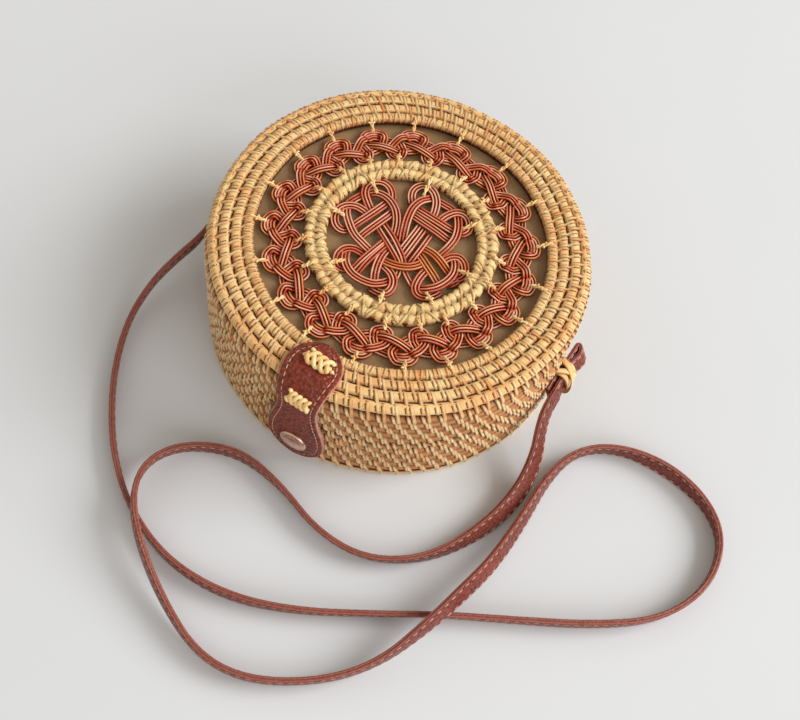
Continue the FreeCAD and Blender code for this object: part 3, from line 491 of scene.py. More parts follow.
# %% Copy it along a seam
def copy_stitches(name, places):
    """One mesh of many stitches; each place is (centre, length arrow, width arrow, height arrow)."""
    points = np.array([v.co for v in thread_stitch.data.vertices])
    spots = np.array(places)
    every = (spots[:, None, 0] + points[None, :, :1] * spots[:, None, 1] + points[None, :, 1:2] * spots[:, None, 2]
             + points[None, :, 2:] * spots[:, None, 3])
    faces = [tuple(v + i * len(points) for v in face.vertices)
             for i in range(len(places)) for face in thread_stitch.data.polygons]
    print(name, len(places), "stitches")
    return skin_of(name, every, faces, sewing_thread)


def sew_band(name, line, wide, face, sizes):
    """Stitches along both edges and on both faces of a band. Sizes in mm: distance to the side, height off the
    middle, step, length and thickness."""
    side, height, pitch, length, thick = (size * MM for size in sizes)
    run, spots = run_along(line), []
    at = lambda arrows, s: np.array([np.interp(s, run, arrows[:, k]) for k in range(3)])
    for edge in (side, -side):
        for off in (height, -height):
            for s in np.arange(run[0] + pitch, run[-1] - pitch, pitch):
                middle, across, out = at(line, s), at(wide, s), at(face, s)
                ahead = unit(at(line, s + length / 2) - at(line, s - length / 2))
                spots.append((middle + edge * across + off * out, ahead * length, unit(across) * thick,
                              unit(out) * thick * math.copysign(1, off)))
    return copy_stitches(name, spots)


# %% Sew the strap and fix it to the base
def dress(piece, body, slot, *nodes):
    """Let a piece ride a body and stand for some solids; the finish slot is not used."""
    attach(piece, body)
    if nodes:
        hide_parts(*nodes)


STRAP_SEAM = (3.75, 1.32, 5.0, 2.9, 0.62)
strap_thread = sew_band("shoulder_strap_thread", strap_path, strap_wide, strap_face, STRAP_SEAM)
dress(strap, "base", "strap_leather", "shoulder_strap")
dress(strap_thread, "base", "strap_leather")

# %% [markdown]
# ## Coiled rattan
# The drum is made as coiled baskets are: round coils laid on each other, and a strip of split rattan that passes
# over two coils at a time and dips between them, each row part of a step off the last. A bump map can't throw the
# small shadows that make this weave, so coils and strips are modelled. A coil is a torus pressed squarish, as the
# strips flatten it. A strip is a narrow grid laid over two coils, given its thickness by Solidify, and spun round
# the bag's axis as copies.

# %% Lay one coil
COIL, SEGMENTS, ROUND, DRIFT = 2.82, 150, 12, 0.3
chance = np.random.default_rng(11)


def points_of(piece):
    """The points of a mesh."""
    co = np.empty(len(piece.data.vertices) * 3)
    piece.data.vertices.foreach_get("co", co)
    return co.reshape(-1, 3)


def move_points(piece, co):
    """Set the points of a mesh."""
    piece.data.vertices.foreach_set("co", np.ascontiguousarray(co).ravel())
    piece.data.update()


def lay_coil(row, thickness=COIL, segments=SEGMENTS, dark=(0.82, 0.42), tone=0.35, finish=coil_rattan, square=3.0,
             under=0.0):
    """A squarish torus round the bag's axis. A row is (radius, height, (out, up)) in mm. `gap`, painted shade,
    grows away from the side that this arrow faces, and towards the underside by `under`."""
    radius, height, out = row
    coil = add_shape(bpy.ops.mesh.primitive_torus_add, location=(0, 0, height * MM), major_radius=radius * MM,
                     minor_radius=thickness * MM, major_segments=segments, minor_segments=ROUND)
    co = points_of(coil) / MM
    side = np.column_stack([np.hypot(co[:, 0], co[:, 1]) - radius, co[:, 2] - height]) / thickness
    out = np.array(out) / np.hypot(*out)
    across = np.array([-out[1], out[0]])
    press = (np.abs(side @ out) ** square + np.abs(side @ across) ** square) ** (-1 / square)
    side, angle = side * press[:, None], np.arctan2(co[:, 1], co[:, 0])
    reach = radius + side[:, 0] * thickness
    rise = height + side[:, 1] * thickness
    move_points(coil, np.column_stack([reach * np.cos(angle), reach * np.sin(angle), rise]) * MM)
    facing = side @ out + under * side[:, 1]
    set_spread(coil, "gap", np.clip((dark[0] - facing) / dark[1], 0, 1))
    drift = DRIFT * np.sin(angle * 3 + chance.uniform(0, 6)) * np.sin(angle * 7 + chance.uniform(0, 6))
    set_spread(coil, "tone", np.clip(tone + drift + chance.uniform(-0.1, 0.1), 0, 1))
    coil.data.materials.append(finish)
    coil.data.shade_smooth()
    return coil


# %% Bend one strip of rattan over coils
def thicken(piece, thickness, offset):
    """Give a flat piece its body with Solidify."""
    lone(piece)
    body = piece.modifiers.new("body", "SOLIDIFY")
    body.thickness, body.offset = thickness, offset
    bpy.ops.object.modifier_apply(modifier="body")


CAMBER, THINNED = 0.45, 0.8


def lay_strip(spine, gaps, width, thick, finish=stitch_rattan, edges=(0.6, 0.6), shares=(-1, 0, 1)):
    """A strip along points (radial, round the axis, up) in mm at azimuth 0, its upper side turned outwards.
    Its two edges are painted darker as shade, each by its own amount, and `shares` are the places of its rows of
    points across."""
    strip = add_shape(bpy.ops.mesh.primitive_grid_add, x_subdivisions=len(shares) - 1,
                      y_subdivisions=len(spine) - 1, size=2)
    along = unit(np.gradient(spine, axis=0))
    across = unit([0, 1.0, 0] - along * along[:, 1:2])
    out = unit(np.cross(across, along))
    strip_shade = []
    for vertex in strip.data.vertices:
        column, row = (round((c + 1) / 2 * n) for c, n in zip(vertex.co.xy, (len(shares) - 1, len(spine) - 1)))
        share = shares[column]
        vertex.co = (spine[row] + across[row] * share * width / 2 - out[row] * share ** 2 * thick * CAMBER) * MM
        strip_shade.append(max(gaps[row], edges[share > 0] * (abs(share) == 1)))
    set_spread(strip, "gap", strip_shade)
    thicken(strip, thick * THINNED * MM, -1)
    strip.data.materials.append(finish)
    strip.data.shade_smooth()
    return strip


# %% Spin it round the axis, and let each copy differ a little
def spin_copies(piece, count, start, slip=0.09, twist=0.06, tone=(0.42, 0.24)):
    """Copies of a piece round the bag's axis, each moved by part of a step and leaned by chance."""
    points, step = len(piece.data.vertices), 2 * math.pi / count
    with editing(piece):
        bpy.ops.mesh.spin(steps=count - 1, dupli=True, angle=step * (count - 1), center=(0, 0, 0), axis=(0, 0, 1))
    co = points_of(piece).reshape(count, points, 3)
    radius, angle = np.hypot(co[..., 0], co[..., 1]), np.arctan2(co[..., 1], co[..., 0])
    rise = co[..., 2] - radius
    rise -= rise.mean(axis=1, keepdims=True)
    angle += start * step + chance.uniform(-slip, slip, (count, 1)) * step
    angle += chance.uniform(-twist, twist, (count, 1)) * rise / radius.mean(axis=1, keepdims=True)
    move_points(piece, np.stack([radius * np.cos(angle), radius * np.sin(angle), co[..., 2]], -1))
    set_spread(piece, "tone", np.repeat(np.clip(chance.normal(*tone, count), 0, 1), points))
    return piece


# %% The path of a strip over one or two coils
SHOULDER, CREST = (math.radians(58), 0.45), (math.radians(22), 0.0)
# Painted shade where a strip dips into the gap between coils, and a little where it crosses from one coil to the next.
DEEP_GAP, SHALLOW_GAP = 0.95, 0.2


def over_coils(rows, before, after, lean, lift=0.7, sink=0.5, coil=COIL):
    """Points from the gap before the first coil to the gap after the last, and the painted shade of each, which
    grows where it lies deep in a gap.
    Rows, before and after are (radius, height, (out, up)); lean is the slant in degrees."""
    chain = [before] + rows + [after]
    flat = [np.array(row[:2]) for row in chain]
    outs = [np.array(row[2]) / np.hypot(*row[2]) for row in chain]
    last = len(rows)
    spots, gaps = [(flat[1] + flat[0]) / 2 + sink * outs[1]], [DEEP_GAP]
    for i in range(1, last + 1):
        for other, turns in ((i - 1, (SHOULDER, CREST)), (i + 1, (CREST, SHOULDER))):
            toward = flat[other] - flat[i]
            toward = unit(toward - outs[i] * (toward @ outs[i]))
            for angle, gap in turns:
                spots.append(flat[i] + (coil + lift) * (math.cos(angle) * outs[i] + math.sin(angle) * toward))
                gaps.append(gap)
    spots.append((flat[last] + flat[last + 1]) / 2 + sink * outs[last])
    gaps.append(DEEP_GAP)
    if last == 2:
        spots[4:6], gaps[4:6] = [(spots[4] + spots[5]) / 2], [SHALLOW_GAP]
    spots = np.array(spots)
    run = run_along(spots)
    slant = math.tan(math.radians(lean)) * (run - run[-1] / 2)
    return np.column_stack([spots[:, 0], slant, spots[:, 1]]), gaps


STRIPS = 82


def wrap_row(chain, k, span, start, lean, lift, strip, tone):
    """Strips all round the bag over one or two coils of a chain, from its place k on."""
    path, gaps = over_coils(chain[k:k + span], chain[k - 1], chain[k + span], lean, lift)
    return spin_copies(lay_strip(path, gaps, *strip), STRIPS, start, tone=tone)


# %% [markdown]
# ## Lower drum
# The lower half has a flat back of round coils, a corner coil and five rows of wall. The strips lean, because each
# climbs as the maker goes round. All rows are moved by one gentle wave at the end, as no basket is quite round.

# %% Join pieces and let the maker's hand show
SEAM_HEIGHT, BAG_RADIUS, FOOT, NEAR_SEAM = 34.45, 0.1, 20, 8
OUT_WAVES = (0.22, 3, 0.8, 0.0), (0.16, 7, 0.0, 0.09), (0.1, 17, 0.0, 0.21)
LIFT_WAVES = (0.16, 5, 2), (0.14, 11, 1)


def hand_wave(piece):
    """Move points by slow waves round the bag, the same for every woven piece, with the foot and the seam left
    level. A wave is its size in mm, its count round the bag, its start and, for those outwards, its turn by mm."""
    co = points_of(piece)
    radius, angle = np.hypot(co[:, 0], co[:, 1]), np.arctan2(co[:, 1], co[:, 0])
    height, share = co[:, 2] / MM, np.clip(radius / BAG_RADIUS, 0, 1)
    radius = radius + MM * share * sum(size * np.sin(count * angle + start + height * turn)
                                       for size, count, start, turn in OUT_WAVES)
    lift = share * sum(size * np.sin(count * angle + start) for size, count, start in LIFT_WAVES)
    lift *= np.clip(height / FOOT, 0, 1) * np.clip(np.abs(height - SEAM_HEIGHT) / NEAR_SEAM, 0, 1)
    move_points(piece, np.column_stack([radius * np.cos(angle), radius * np.sin(angle), co[:, 2] + MM * lift]))


def gather(name, pieces, body, slot, *nodes):
    """Join pieces into one that rides a body and stands for some solids."""
    lone(pieces[0])
    for piece in pieces:
        piece.select_set(True)
    if len(pieces) > 1:
        bpy.ops.object.join()
    whole = bpy.context.object
    whole.name = whole.data.name = name
    dress(whole, body, slot, *nodes)
    print(name, len(whole.data.polygons), "faces")
    return whole


# %% Weave the back panel round a knob
DOWN, OUT, UP = (0, -1), (1, 0), (0, 1)
LOW_CORNER = (96.7, 3.55, (1, -0.9))
BACK_STRIP, BACK_PITCH, KNOB = (2.0, 0.8), 7.5, 3.6 * MM
back_rows = [(91.0 - 5.85 * k, 3.45, DOWN) for k in range(16)]
pieces = [lay_coil(row) for row in back_rows + [LOW_CORNER]]
chain = [LOW_CORNER] + back_rows
for k in range(1, len(chain) - 2):
    path, gaps = over_coils(chain[k:k + 2], chain[k - 1], chain[k + 2], 4, lift=0.55)
    count = round(2 * math.pi * (chain[k][0] - 3) / BACK_PITCH)
    pieces.append(spin_copies(lay_strip(path[::-1], gaps[::-1], *BACK_STRIP), count, 0.5 * (k % 2)))
knob = add_shape(bpy.ops.mesh.primitive_uv_sphere_add, segments=16, ring_count=8, radius=KNOB)
move_points(knob, points_of(knob) * [1, 1, 0.75] + [0, 0, KNOB])
knob.data.materials.append(coil_rattan)
knob.data.shade_smooth()
hand_wave(gather("back_panel_weave", pieces + [knob], "base", "coiled_rattan", "base_panel"))

# %% Weave the lower wall
WALL_RADIUS = 97.1
STAGGER, WALL_STAGGER = -0.53, -0.46
# Wall coils: a darker finish and deeper tone, with painted shade over more of each coil and on its underside. Wall
# strips: paler, with a painted shadow along their left edge.
WALL_COIL = dict(dark=(1.08, 0.56), tone=0.5, finish=wall_coil_painted_shade, square=2.3, under=0.3)
SEAM_COIL = WALL_COIL | dict(dark=(0.6, 0.6), under=0.0)
WALL_ROW = dict(lean=-16, lift=0.85, strip=(2.2, 0.95, wall_stitch_painted_light, (1.0, 0.35)), tone=(0.25, 0.22))
FACE_ROW = dict(lean=-11, lift=0.6, strip=(2.4, 0.85, stitch_rattan, (1.0, 0.55)), tone=(0.28, 0.26))
ABOVE_BASE, BELOW_LID = (WALL_RADIUS, 37.0, OUT), (WALL_RADIUS, 31.9, OUT)
base_rows = [(WALL_RADIUS, height, OUT) for height in (8.62, 14.27, 19.92, 25.57, 31.3)]
chain = [back_rows[0], LOW_CORNER] + base_rows + [ABOVE_BASE]
pieces = [lay_coil(row, **WALL_COIL) for row in base_rows[:-1]]
pieces.append(lay_coil((*base_rows[-1][:2], (1, 1)), **SEAM_COIL))
top = len(chain) - 2
for k in range(1, top + 1):
    pieces.append(wrap_row(chain, k, 2 if k < top else 1, WALL_STAGGER * k, **WALL_ROW))
hand_wave(gather("lower_wall_weave", pieces, "base", "coiled_rattan", "base_wall", "base_edge_coil"))

# %% [markdown]
# ## Upper drum
# The lid's wall has six rows, then a corner coil, two rows on the face and a last coil round the eye, where the
# strip turns twice as often.

# %% Weave the lid's wall, corner and face
lid_rows = [(WALL_RADIUS, height, OUT) for height in (37.6, 43.4, 49.2, 55.0, 60.8, 66.6)]
CORNER = (95.5, 72.2, (1, 1))
face_rows = [(90.1, 73.55, (0.12, 1)), (84.25, 73.65, UP)]
EYE, WITHIN, EYE_STRIP = (78.4, 73.65, UP), (72.6, 71.6, UP), (1.9, 0.8)
COIL_LOOKS = dict(wall=WALL_COIL, rim=dict(dark=(0.2, 0.5)), face={}, eye={})
coil_parts = ["wall"] * 5 + ["rim"] + ["face"] * 2 + ["eye"]
strip_parts = ["wall"] * 5 + ["rim"] * 2 + ["face"] * 2
chain = [BELOW_LID] + lid_rows + [CORNER] + face_rows + [EYE, WITHIN]
groups = dict(wall=[lay_coil((*lid_rows[0][:2], (1, -1)), **SEAM_COIL)], rim=[], face=[], eye=[])
for row, part in zip(chain[2:], coil_parts):
    groups[part].append(lay_coil(row, **COIL_LOOKS[part]))
for k, part in enumerate(strip_parts, 1):
    step, looks = (WALL_STAGGER, WALL_ROW) if part == "wall" else (STAGGER, FACE_ROW)
    groups[part].append(wrap_row(chain, k, 2, step * k, **looks))
groups["wall"].append(wrap_row(chain, 1, 1, 0.0, **WALL_ROW))
path, gaps = over_coils([EYE], face_rows[1], WITHIN, 5, lift=0.62, sink=0.2)
groups["eye"].append(spin_copies(lay_strip(path, gaps, *EYE_STRIP), 2 * STRIPS, 0.25, slip=0.25, twist=0.2))
for name, part, *nodes in (("lid_wall_weave", "wall", "lid_edge_coil", "lid_wall"), ("lid_rim_weave", "rim", "lid_rim"),
                           ("lid_face_weave", "face", "lid_face_ring"), ("eye_wrapping", "eye", "lid_eye_coil")):
    hand_wave(gather(name, groups[part], "lid", "coiled_rattan", *nodes))

# %% Wrap the inner ring: two coils side by side under broad turns, with thin loose ones over them
RING_COIL, RING_SEGMENTS, RING_HEIGHT = 2.7, 96, 73.4
ring_rows = [(radius, RING_HEIGHT, UP) for radius in (53.3, 47.35, 41.65, 35.7)]
BROAD, THIN = ((0.65, 0.65), (-1, -0.82, 0, 0.82, 1)), ((0.5, 0.5), (-1, 0, 1))
RING_TURNS = [(72, 0.0, 8, 3.75, 0.4, 0.1, BROAD), (30, 0.1, 24, 1.9, 0.9, 0.45, THIN),
              (15, 0.4, -20, 1.7, 0.95, 0.45, THIN)]
# The ring's coils are darkened over much of their sides, and the strips in the valley between them: painted shade.
pieces = [lay_coil(row, RING_COIL, RING_SEGMENTS, dark=(1.4, 0.8), finish=tie_rattan) for row in ring_rows[1:3]]
for count, start, slant, width, lift, slip, edges in RING_TURNS:
    path, gaps = over_coils(ring_rows[1:3], ring_rows[0], ring_rows[3], slant, lift, -1.0, RING_COIL)
    gaps = [0.5 if k == len(gaps) // 2 else gap * 0.6 for k, gap in enumerate(gaps)]
    strip = lay_strip(path, gaps, width, 0.7, tie_rattan, *edges)
    pieces.append(spin_copies(strip, count, start, slip=slip, twist=0.35, tone=(0.02, 0.24)))
gather("inner_ring_wrapping", pieces, "lid", "coiled_rattan", "medallion_ring")

# %% [markdown]
# ## Lining
# A khaki cloth is stretched behind the eye and over the insides of both halves. It is thin and nearly flat, so a
# round cut of cloth is a disc, inset ring by ring so that it can pucker, and the wall lining is a band. Solidify
# gives the cloth its body. The weave is two crossing waves in the material.

# %% Khaki cloth
lining_cloth, tree, shader = new_finish("lining_cloth")
place = add_node(tree, "TexCoord").outputs
threads = []
for way in ("X", "Y"):
    wave = add_node(tree, "TexWave", Vector=place["UV"], Scale=520.0, Distortion=0.6)
    wave.bands_direction = way
    threads.append(wave.outputs["Fac"])
weave_height = add_math(tree, "MULTIPLY", *threads)
dye = add_mix(tree, add_noise(tree, place["Object"], 60.0, 5.0), tint(180, 146, 108), tint(148, 114, 78))
khaki = add_mix(tree, add_math(tree, "MULTIPLY", weave_height, 0.5), dye, tint(192, 166, 130))
wire(tree, shader, Base_Color=khaki, Roughness=0.9, Specular_IOR_Level=0.2)
add_relief(tree, shader, weave_height, 0.4, 0.0003)
print("cloth ready")

# %% Cut the round cloths
CLOTH, TRIM, BAND_TRIM = 0.0006, 0.0004, 0.0005
RINGS, PUCKER = 10, 0.00018
FLUTES, FLUTE, SAG = 31, 0.0022, 0.0015


def make_up(cloth, name, node, body, places):
    """Give a cut cloth the scale of its weave, its body, its finish and its place on the bag."""
    set_uv(cloth, places)
    thicken(cloth, CLOTH, 0)
    cloth.data.materials.append(lining_cloth)
    cloth.data.shade_smooth()
    cloth.name = cloth.data.name = name
    dress(cloth, body, "lining_cloth", node)


def cut_round_cloth(name, node, body):
    """A disc of cloth in the room of a lining solid, inset ring by ring and puckered."""
    low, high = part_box(node)
    radius, middle = (high.x - low.x) / 2 - TRIM, (low.z + high.z) / 2
    cloth = add_shape(bpy.ops.mesh.primitive_circle_add, vertices=96, radius=radius, fill_type="NGON",
                      location=(0, 0, middle))
    with editing(cloth):
        for ring in range(RINGS):
            bpy.ops.mesh.inset(thickness=radius / (RINGS + 1.5), use_boundary=True)
    for vertex in cloth.data.vertices:
        out, angle = math.hypot(vertex.co.x, vertex.co.y), math.atan2(vertex.co.y, vertex.co.x)
        vertex.co.z += PUCKER * math.sin(9 * angle + out * 40) * math.sin(out * 95 + 2 * math.sin(3 * angle))
    make_up(cloth, name, node, body, [v.co.xy for v in cloth.data.vertices])
    print(name, "cut", round(2 * radius, 4), "m across")


# %% Cut the bands
def cut_band_cloth(name, node, body):
    """A band of cloth in the room of a wall lining, slack between its edges."""
    low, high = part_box(node)
    radius, depth = (high.x - low.x) / 2 - BAND_TRIM, high.z - low.z
    cloth = add_shape(bpy.ops.mesh.primitive_cylinder_add, vertices=120, radius=radius, depth=depth,
                      end_fill_type="NOTHING", location=(0, 0, (low.z + high.z) / 2))
    for height in (depth / 3, depth * 2 / 3):
        with editing(cloth):
            bpy.ops.mesh.bisect(plane_co=(0, 0, low.z + height), plane_no=(0, 0, 1))
    for vertex in cloth.data.vertices:
        angle, slack = math.atan2(vertex.co.y, vertex.co.x), math.sin(math.pi * (vertex.co.z - low.z) / depth)
        swell = 1 + FLUTE * math.sin(FLUTES * angle) * slack - SAG * slack
        vertex.co.x, vertex.co.y = vertex.co.x * swell, vertex.co.y * swell
    make_up(cloth, name, node, body, [(math.atan2(v.co.y, v.co.x) * radius, v.co.z) for v in cloth.data.vertices])
    print(name, "cut", round(2 * math.pi * radius, 4), "by", round(depth, 4), "m")


# %% Line both halves
for body in ("lid", "base"):
    cut_round_cloth(f"{body}_lining_cloth", f"{body}_lining_panel", body)
for body in ("lid", "base"):
    cut_band_cloth(f"{body}_wall_lining", f"{body}_lining_wall", body)

# %% [markdown]
# ## Ring of knots
# Two bands of three stained strands run round the eye. One makes the outer loops and the other the inner loops, and
# each passes over and under the other. A knot could be woven by hand point by point, but it repeats, so one unit
# is written as points (share of the pitch, radius, height), strung round the eye, and drawn as bevelled curves.

# %% One unit of each band: low passes under, high passes over
LOW, MID, HIGH = 71.5, 72.8, 74.3
OUTER_LOOPS = [(-0.578, 57.0, MID), (-0.36, 58.0, HIGH), (-0.11, 60.2, HIGH), (0.10, 62.5, MID), (0.235, 64.8, LOW),
               (0.25, 67.6, MID), (0.15, 70.0, MID), (0.0, 70.6, MID), (-0.17, 69.8, MID), (-0.265, 66.5, HIGH),
               (-0.22, 63.0, MID), (-0.11, 60.0, LOW), (0.06, 58.0, MID), (0.2, 57.2, MID), (0.27, 57.2, LOW)]
INNER_LOOPS = [(-0.265, 66.3, LOW), (-0.05, 67.6, MID), (0.14, 67.0, MID), (0.235, 66.2, HIGH), (0.36, 65.0, HIGH),
               (0.53, 61.8, MID), (0.60, 59.8, MID), (0.636, 58.3, LOW), (0.655, 56.5, MID), (0.60, 53.9, MID),
               (0.47, 52.7, MID), (0.32, 53.6, MID), (0.25, 56.0, HIGH), (0.265, 59.0, MID), (0.33, 62.0, MID),
               (0.37, 64.0, LOW), (0.50, 64.8, LOW)]
KNOT_ANGLES = [9.2, 29.4, 49.6, 70.2, 92.5, 113.0, 132.0, 150.0, 167.5, 186.0, 203.5, 222.0, 242.5, 260.5, 279.5,
               299.5, 316.8, 334.0, 351.9]
KNOTS = len(KNOT_ANGLES)
knot_marks = np.array([angle + 360 * turn for turn in (-1, 0, 1, 2) for angle in KNOT_ANGLES])


def knot_angle(count):
    """Azimuth in radians of a place counted in knots from the first one."""
    return np.radians(np.interp(count, np.arange(-KNOTS, 3 * KNOTS), knot_marks))


def through(points, per, closed=False):
    """A smooth line through points, with a number of steps for each."""
    points = np.array(points, float)
    count = len(points)
    pick = (lambda i: points[i % count]) if closed else (lambda i: points[min(max(i, 0), count - 1)])
    line = []
    for i in range(count if closed else count - 1):
        a, b, c, d = pick(i - 1), pick(i), pick(i + 1), pick(i + 2)
        for t in np.arange(per) / per:
            line.append(0.5 * (2 * b + (c - a) * t + (2 * a - 5 * b + 4 * c - d) * t * t
                               + (3 * b - a - 3 * c + d) * t ** 3))
    return np.array(line if closed else line + [points[-1]])


# %% Draw strands as bevelled curves
TIP, MERGE = 0.02, 0.00004
# Slopes of `tone` down the sides of round strands, as painted shade, steeper on stained strands.
STAINED_SIDE_SHADE, PLAIN_SIDE_SHADE = 8.0, 0.6


def side_by_side(line, offsets, closed=False):
    """Lines that run beside a flat line, each at its offset to the left."""
    ahead = (np.roll(line, -1, 0) - np.roll(line, 1, 0)) if closed else np.gradient(line, axis=0)
    left = unit(np.column_stack([-ahead[:, 1], ahead[:, 0], np.zeros(len(line))]))
    return [line + left * offset for offset in offsets]


def draw_strands(name, lines, thick, finish, closed=False, sides=1, tones=None, shade_and_stain=0.0):
    """A mesh of round strands, each along one line in mm; `tone` grows from a chance number on top to the deep tone
    of the sides and, for stained strands, `gap` darkens the lower sides, both by how far each point's normal turns
    away from up: a painted highlight on top and painted shade on the sides. Open ends shrink to a point, which
    merging closes."""
    curve = bpy.data.curves.new(name, "CURVE")
    curve.dimensions, curve.bevel_depth, curve.bevel_resolution = "3D", thick / 2 * MM, sides
    for line in lines:
        spline = curve.splines.new("POLY")
        spline.points.add(len(line) - 1)
        spline.points.foreach_set("co", np.column_stack([line * MM, np.ones(len(line))]).ravel())
        spline.use_cyclic_u = closed
        if not closed:
            spline.points[0].radius = spline.points[-1].radius = TIP
    lone(new_piece(name, curve))
    bpy.ops.object.convert(target="MESH")
    piece = bpy.context.object
    around = 4 + 2 * sides
    tones = chance.uniform(-0.7, 0.7, len(lines)) if tones is None else tones
    piece.data.update()
    down = 1 - np.array([v.normal.z for v in piece.data.vertices])
    own = np.concatenate([np.full(len(line) * around, tone) for line, tone in zip(lines, tones)])
    set_spread(piece, "tone", own + (STAINED_SIDE_SHADE if shade_and_stain else PLAIN_SIDE_SHADE) * np.clip(down, 0, 1))
    set_spread(piece, "gap", shade_and_stain * np.clip((down - 0.28) / 0.42, 0, 1))
    if not closed:
        with editing(piece):
            bpy.ops.mesh.remove_doubles(threshold=MERGE)
    piece.data.materials.clear()
    piece.data.materials.append(finish)
    piece.data.shade_smooth()
    return piece


# %% String the units round the eye
STRAND, SPREAD, KNOT_SHADE_AND_STAIN, CROWN = 1.42, 1.66, 0.95, 0.22
chain_pieces = []
for loops, tones in ((OUTER_LOOPS, [0.3, -0.6, 0.1]), (INNER_LOOPS, [-0.5, 0.3, 0.0])):
    spots = []
    for knot in range(KNOTS):
        for share, radius, height in loops:
            angle = knot_angle(knot + share)
            spots.append((radius * math.cos(angle), radius * math.sin(angle), height))
    right, middle, left = side_by_side(through(spots, 4, True), [-SPREAD, 0, SPREAD], True)
    right, left = right - [0, 0, CROWN], left - [0, 0, CROWN]
    for lines, finish, shades in (([left], amber_rattan, tones[2:]), ([right, middle], red_rattan, tones[:2])):
        chain_pieces.append(draw_strands("knot_band", lines, STRAND, finish, True, 2, shades, KNOT_SHADE_AND_STAIN))
gather("knot_ring_strands", chain_pieces, "lid", "stained_rattan", "knot_chain")

# %% [markdown]
# ## Four-leaf knot
# Bands of two or three strands make four leaves in the middle, each with a core and two small loops. The bands are
# followed one by one at the height at which they pass over or under their neighbours, and their ends dip under
# other bands.

